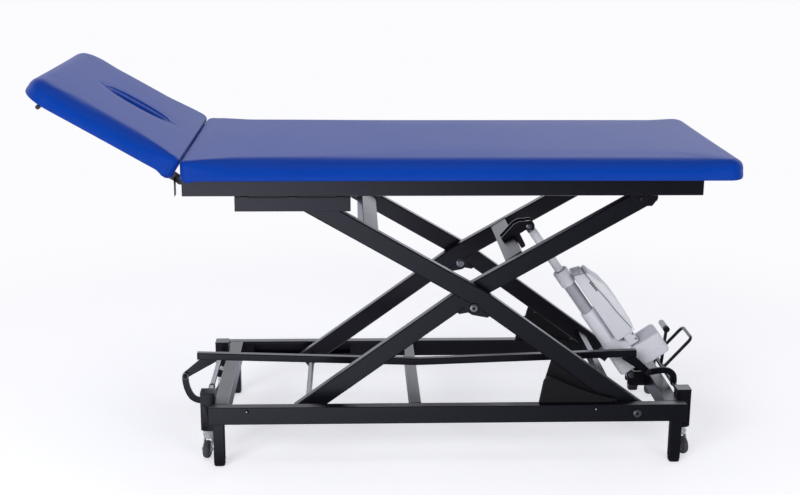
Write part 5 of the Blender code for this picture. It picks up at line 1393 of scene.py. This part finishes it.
def buildWelds(look=weldLook):
    y = railLook["inner"] - look["sink"]
    low, high = railLook["base"]
    under, foot, head = low - look["tubeSink"], low + look["stop"], high - look["stop"]
    runs = []
    for side in sides.values():
        for bar in (*look["endBars"], look["midBar"]):
            runs += [[(x, side * y, foot), (x, side * y, head)] for x in bar]
        for x in look["sleeves"]:
            runs += [[(x, side * edge, foot), (x, side * edge, head)] for edge in look["sleeveY"]]
        for leg in look["legs"]:
            runs += [[(x, side * edge, under) for edge in look["legY"]] for x in leg]
    weldRuns("baseWelds", "base", runs)
    runs = []
    foot, head = look["topBarLow"], railLook["top"][1] - look["stop"]
    for side in sides.values():
        for bar in look["topBars"]:
            runs += [[(x, side * y, foot), (x, side * y, head)] for x in bar]
            runs.append([(x, side * y, foot) for x in bar])
    weldRuns("topWelds", "top_frame", runs)
    outer = {"outer_upper_tube": look["upperTube"], "outer_lower_tube": look["lowerTube"]}
    inner = {"inner_lift_tube": look["liftTube"]}
    for name, body, pivot, degrees, tubes in (
            ("outerArmWelds", "outer_arms", "lift", look["armDegrees"], outer),
            ("innerArmWelds", "inner_arms", "arm_cross", -look["armDegrees"], inner)):
        arm = armFrame(pivot, degrees)
        runs = []
        for node, (x0, x1, z0, z1) in tubes.items():
            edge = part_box(node)[1].y - look["tubeSink"]
            for side in sides.values():
                loop = [(x0, z0), (x1, z0), (x1, z1), (x0, z1), (x0, z0)]
                runs.append([arm @ Vector((x, side * edge, z)) for x, z in loop])
        weldRuns(name, body, runs)
    print("welds made")


buildCaps()
buildWelds()


# stage: floor, light and camera

stageLook = {"floor": (0.93, 0.93, 0.955), "seen": (1.74, 1.74, 1.80), "glow": (0.97, 0.97, 0.995),
             "near": 0.50, "clear": 0.5, "far": 2.6, "size": 60.0, "height": -0.0003, "reflectFrom": -0.1,
             "reflectTo": 0.9, "bright": (0.91, 0.93, 1.12), "dim": (0.05, 0.05, 0.06),
             "leftRun": (1.1, -1.1), "aheadRun": (-0.25, -0.6), "farRun": (-0.6, -2.5), "farShare": 0.45}


def buildFloor(look=stageLook):
    bm = bmesh.new()
    half = look["size"] / 2
    square = ((-1, -1), (1, -1), (1, 1), (-1, 1))
    bm.faces.new([bm.verts.new((x * half, y * half, look["height"])) for x, y in square])
    f = Finish("paleFloor")
    away = f.node("ShaderNodeVectorMath", {"operation": "LENGTH"}, {0: f.place}, out="Value")
    share = look["near"] + (1 - look["near"]) * f.smooth(away, look["clear"], look["far"])
    x, y = f.axis(f.place, "X"), f.axis(f.place, "Y")
    behind = f.smooth(y, look["reflectFrom"], look["reflectTo"])
    leftAhead = f.smooth(x, *look["leftRun"]) * f.smooth(y, *look["aheadRun"])
    leftAhead = leftAhead * (1 - look["farShare"] + look["farShare"] * f.smooth(y, *look["farRun"]))

    def shine(colour):
        return f.node("ShaderNodeEmission", None, {"Color": rgb(*colour), "Strength": 1.0})

    def matt(colour):
        return f.node("ShaderNodeBsdfDiffuse", None, {"Color": rgb(*colour)})

    def blend(factor, a, b):
        return f.node("ShaderNodeMixShader", None, {0: factor, 1: a, 2: b})

    inView = blend(share, matt(look["seen"]), shine(look["glow"]))
    ground = blend(f.rays("Is Camera Ray", "Is Transmission Ray"), matt(look["floor"]), inView)
    mirrored = blend(f.maths("MAXIMUM", behind, leftAhead), shine(look["dim"]), shine(look["bright"]))
    both = blend(f.rays("Is Glossy Ray"), ground, mirrored)
    f.node("ShaderNodeOutputMaterial", None, {"Surface": both}, out=None)
    mesh = meshFrom("studioFloor", bm)
    mesh.materials.append(f.material)
    linked("studioFloor", mesh)


lampLook = {
    "topSoftbox": {"place": (-0.2, -0.3, 3.4), "aim": (0.0, 0.1, 0.4), "size": (3.6, 2.6), "power": 22.0},
    "frontKey": {"place": (-2.5, -4.2, 2.3), "aim": (0.0, 0.0, 0.55), "size": (2.4, 2.0), "power": 118.0},
    "frontFill": {"place": (2.2, -3.9, 1.0), "aim": (0.4, 0.0, 0.40), "size": (1.8, 1.4), "power": 62.0},
}
skyLook = {"back": (0.95, 0.97, 1.07), "backHigh": (1.50, 1.53, 1.66), "above": (0.07, 0.07, 0.08),
           "front": (0.04, 0.04, 0.05), "seen": (0.96, 0.96, 0.99), "left": (0.22, 0.22, 0.24),
           "leftRun": (0.1, -0.8), "highRun": (0.20, 0.34), "rightRun": (0.05, 0.30),
           "backRun": (-0.25, 0.55), "aboveRun": (0.42, 0.74)}


def buildLights(look=lampLook, sky=skyLook):
    for name, lamp in look.items():
        light = bpy.data.lights.new(name, "AREA")
        light.shape = "RECTANGLE"
        light.size, light.size_y = lamp["size"]
        light.energy = lamp["power"]
        holder = linked(name, light)
        holder.location = lamp["place"]
        ahead = Vector(lamp["aim"]) - Vector(lamp["place"])
        holder.rotation_euler = ahead.to_track_quat("-Z", "Y").to_euler()
        holder.visible_glossy = False
    world = bpy.data.worlds.new("studio")
    world.use_nodes = True
    tree = Tree(world.node_tree)
    tree.nodeTree.nodes.clear()
    way = tree.node("ShaderNodeTexCoord", out="Generated")
    x, y, z = (tree.axis(way, name) for name in "XYZ")
    front = tree.mix(tree.smooth(x, *sky["leftRun"]), rgb(*sky["front"]), rgb(*sky["left"]))
    bright = 0.5 * tree.smooth(z, *sky["highRun"]) + 0.5 * tree.smooth(x, *sky["rightRun"])
    back = tree.mix(bright, rgb(*sky["back"]), rgb(*sky["backHigh"]))
    around = tree.mix(tree.smooth(y, *sky["backRun"]), front, back)
    colour = tree.mix(tree.smooth(z, *sky["aboveRun"]), around, rgb(*sky["above"]))
    colour = tree.mix(tree.rays("Is Camera Ray"), colour, rgb(*sky["seen"]))
    shine = tree.node("ShaderNodeBackground", None, {"Color": colour, "Strength": 1.0})
    tree.node("ShaderNodeOutputWorld", None, {"Surface": shine}, out=None)
    scene.world = world


cameraLook = {"place": (-0.0995, -3.6204, 1.5073), "yaw": 0.0382, "pitch": 0.2601, "roll": 0.0061,
              "lens": 58.95}


def buildCamera(look=cameraLook):
    yaw, pitch, roll = look["yaw"], look["pitch"], look["roll"]
    ahead = Vector((math.sin(yaw) * math.cos(pitch), math.cos(yaw) * math.cos(pitch), -math.sin(pitch)))
    right = Vector((math.cos(yaw), -math.sin(yaw), 0.0))
    up = right.cross(ahead)
    across = math.cos(roll) * right + math.sin(roll) * up
    above = -math.sin(roll) * right + math.cos(roll) * up
    lens = bpy.data.cameras.new("photoCamera")
    lens.sensor_fit = "HORIZONTAL"
    lens.sensor_width = 36.0
    lens.lens = look["lens"]
    lens.clip_end = 200.0
    camera = linked("photoCamera", lens)
    turn = Matrix((across, above, -ahead)).transposed().to_4x4()
    camera.matrix_world = Matrix.Translation(look["place"]) @ turn
    scene.camera = camera


buildFloor()
buildLights()
buildCamera()
print("stage ready")
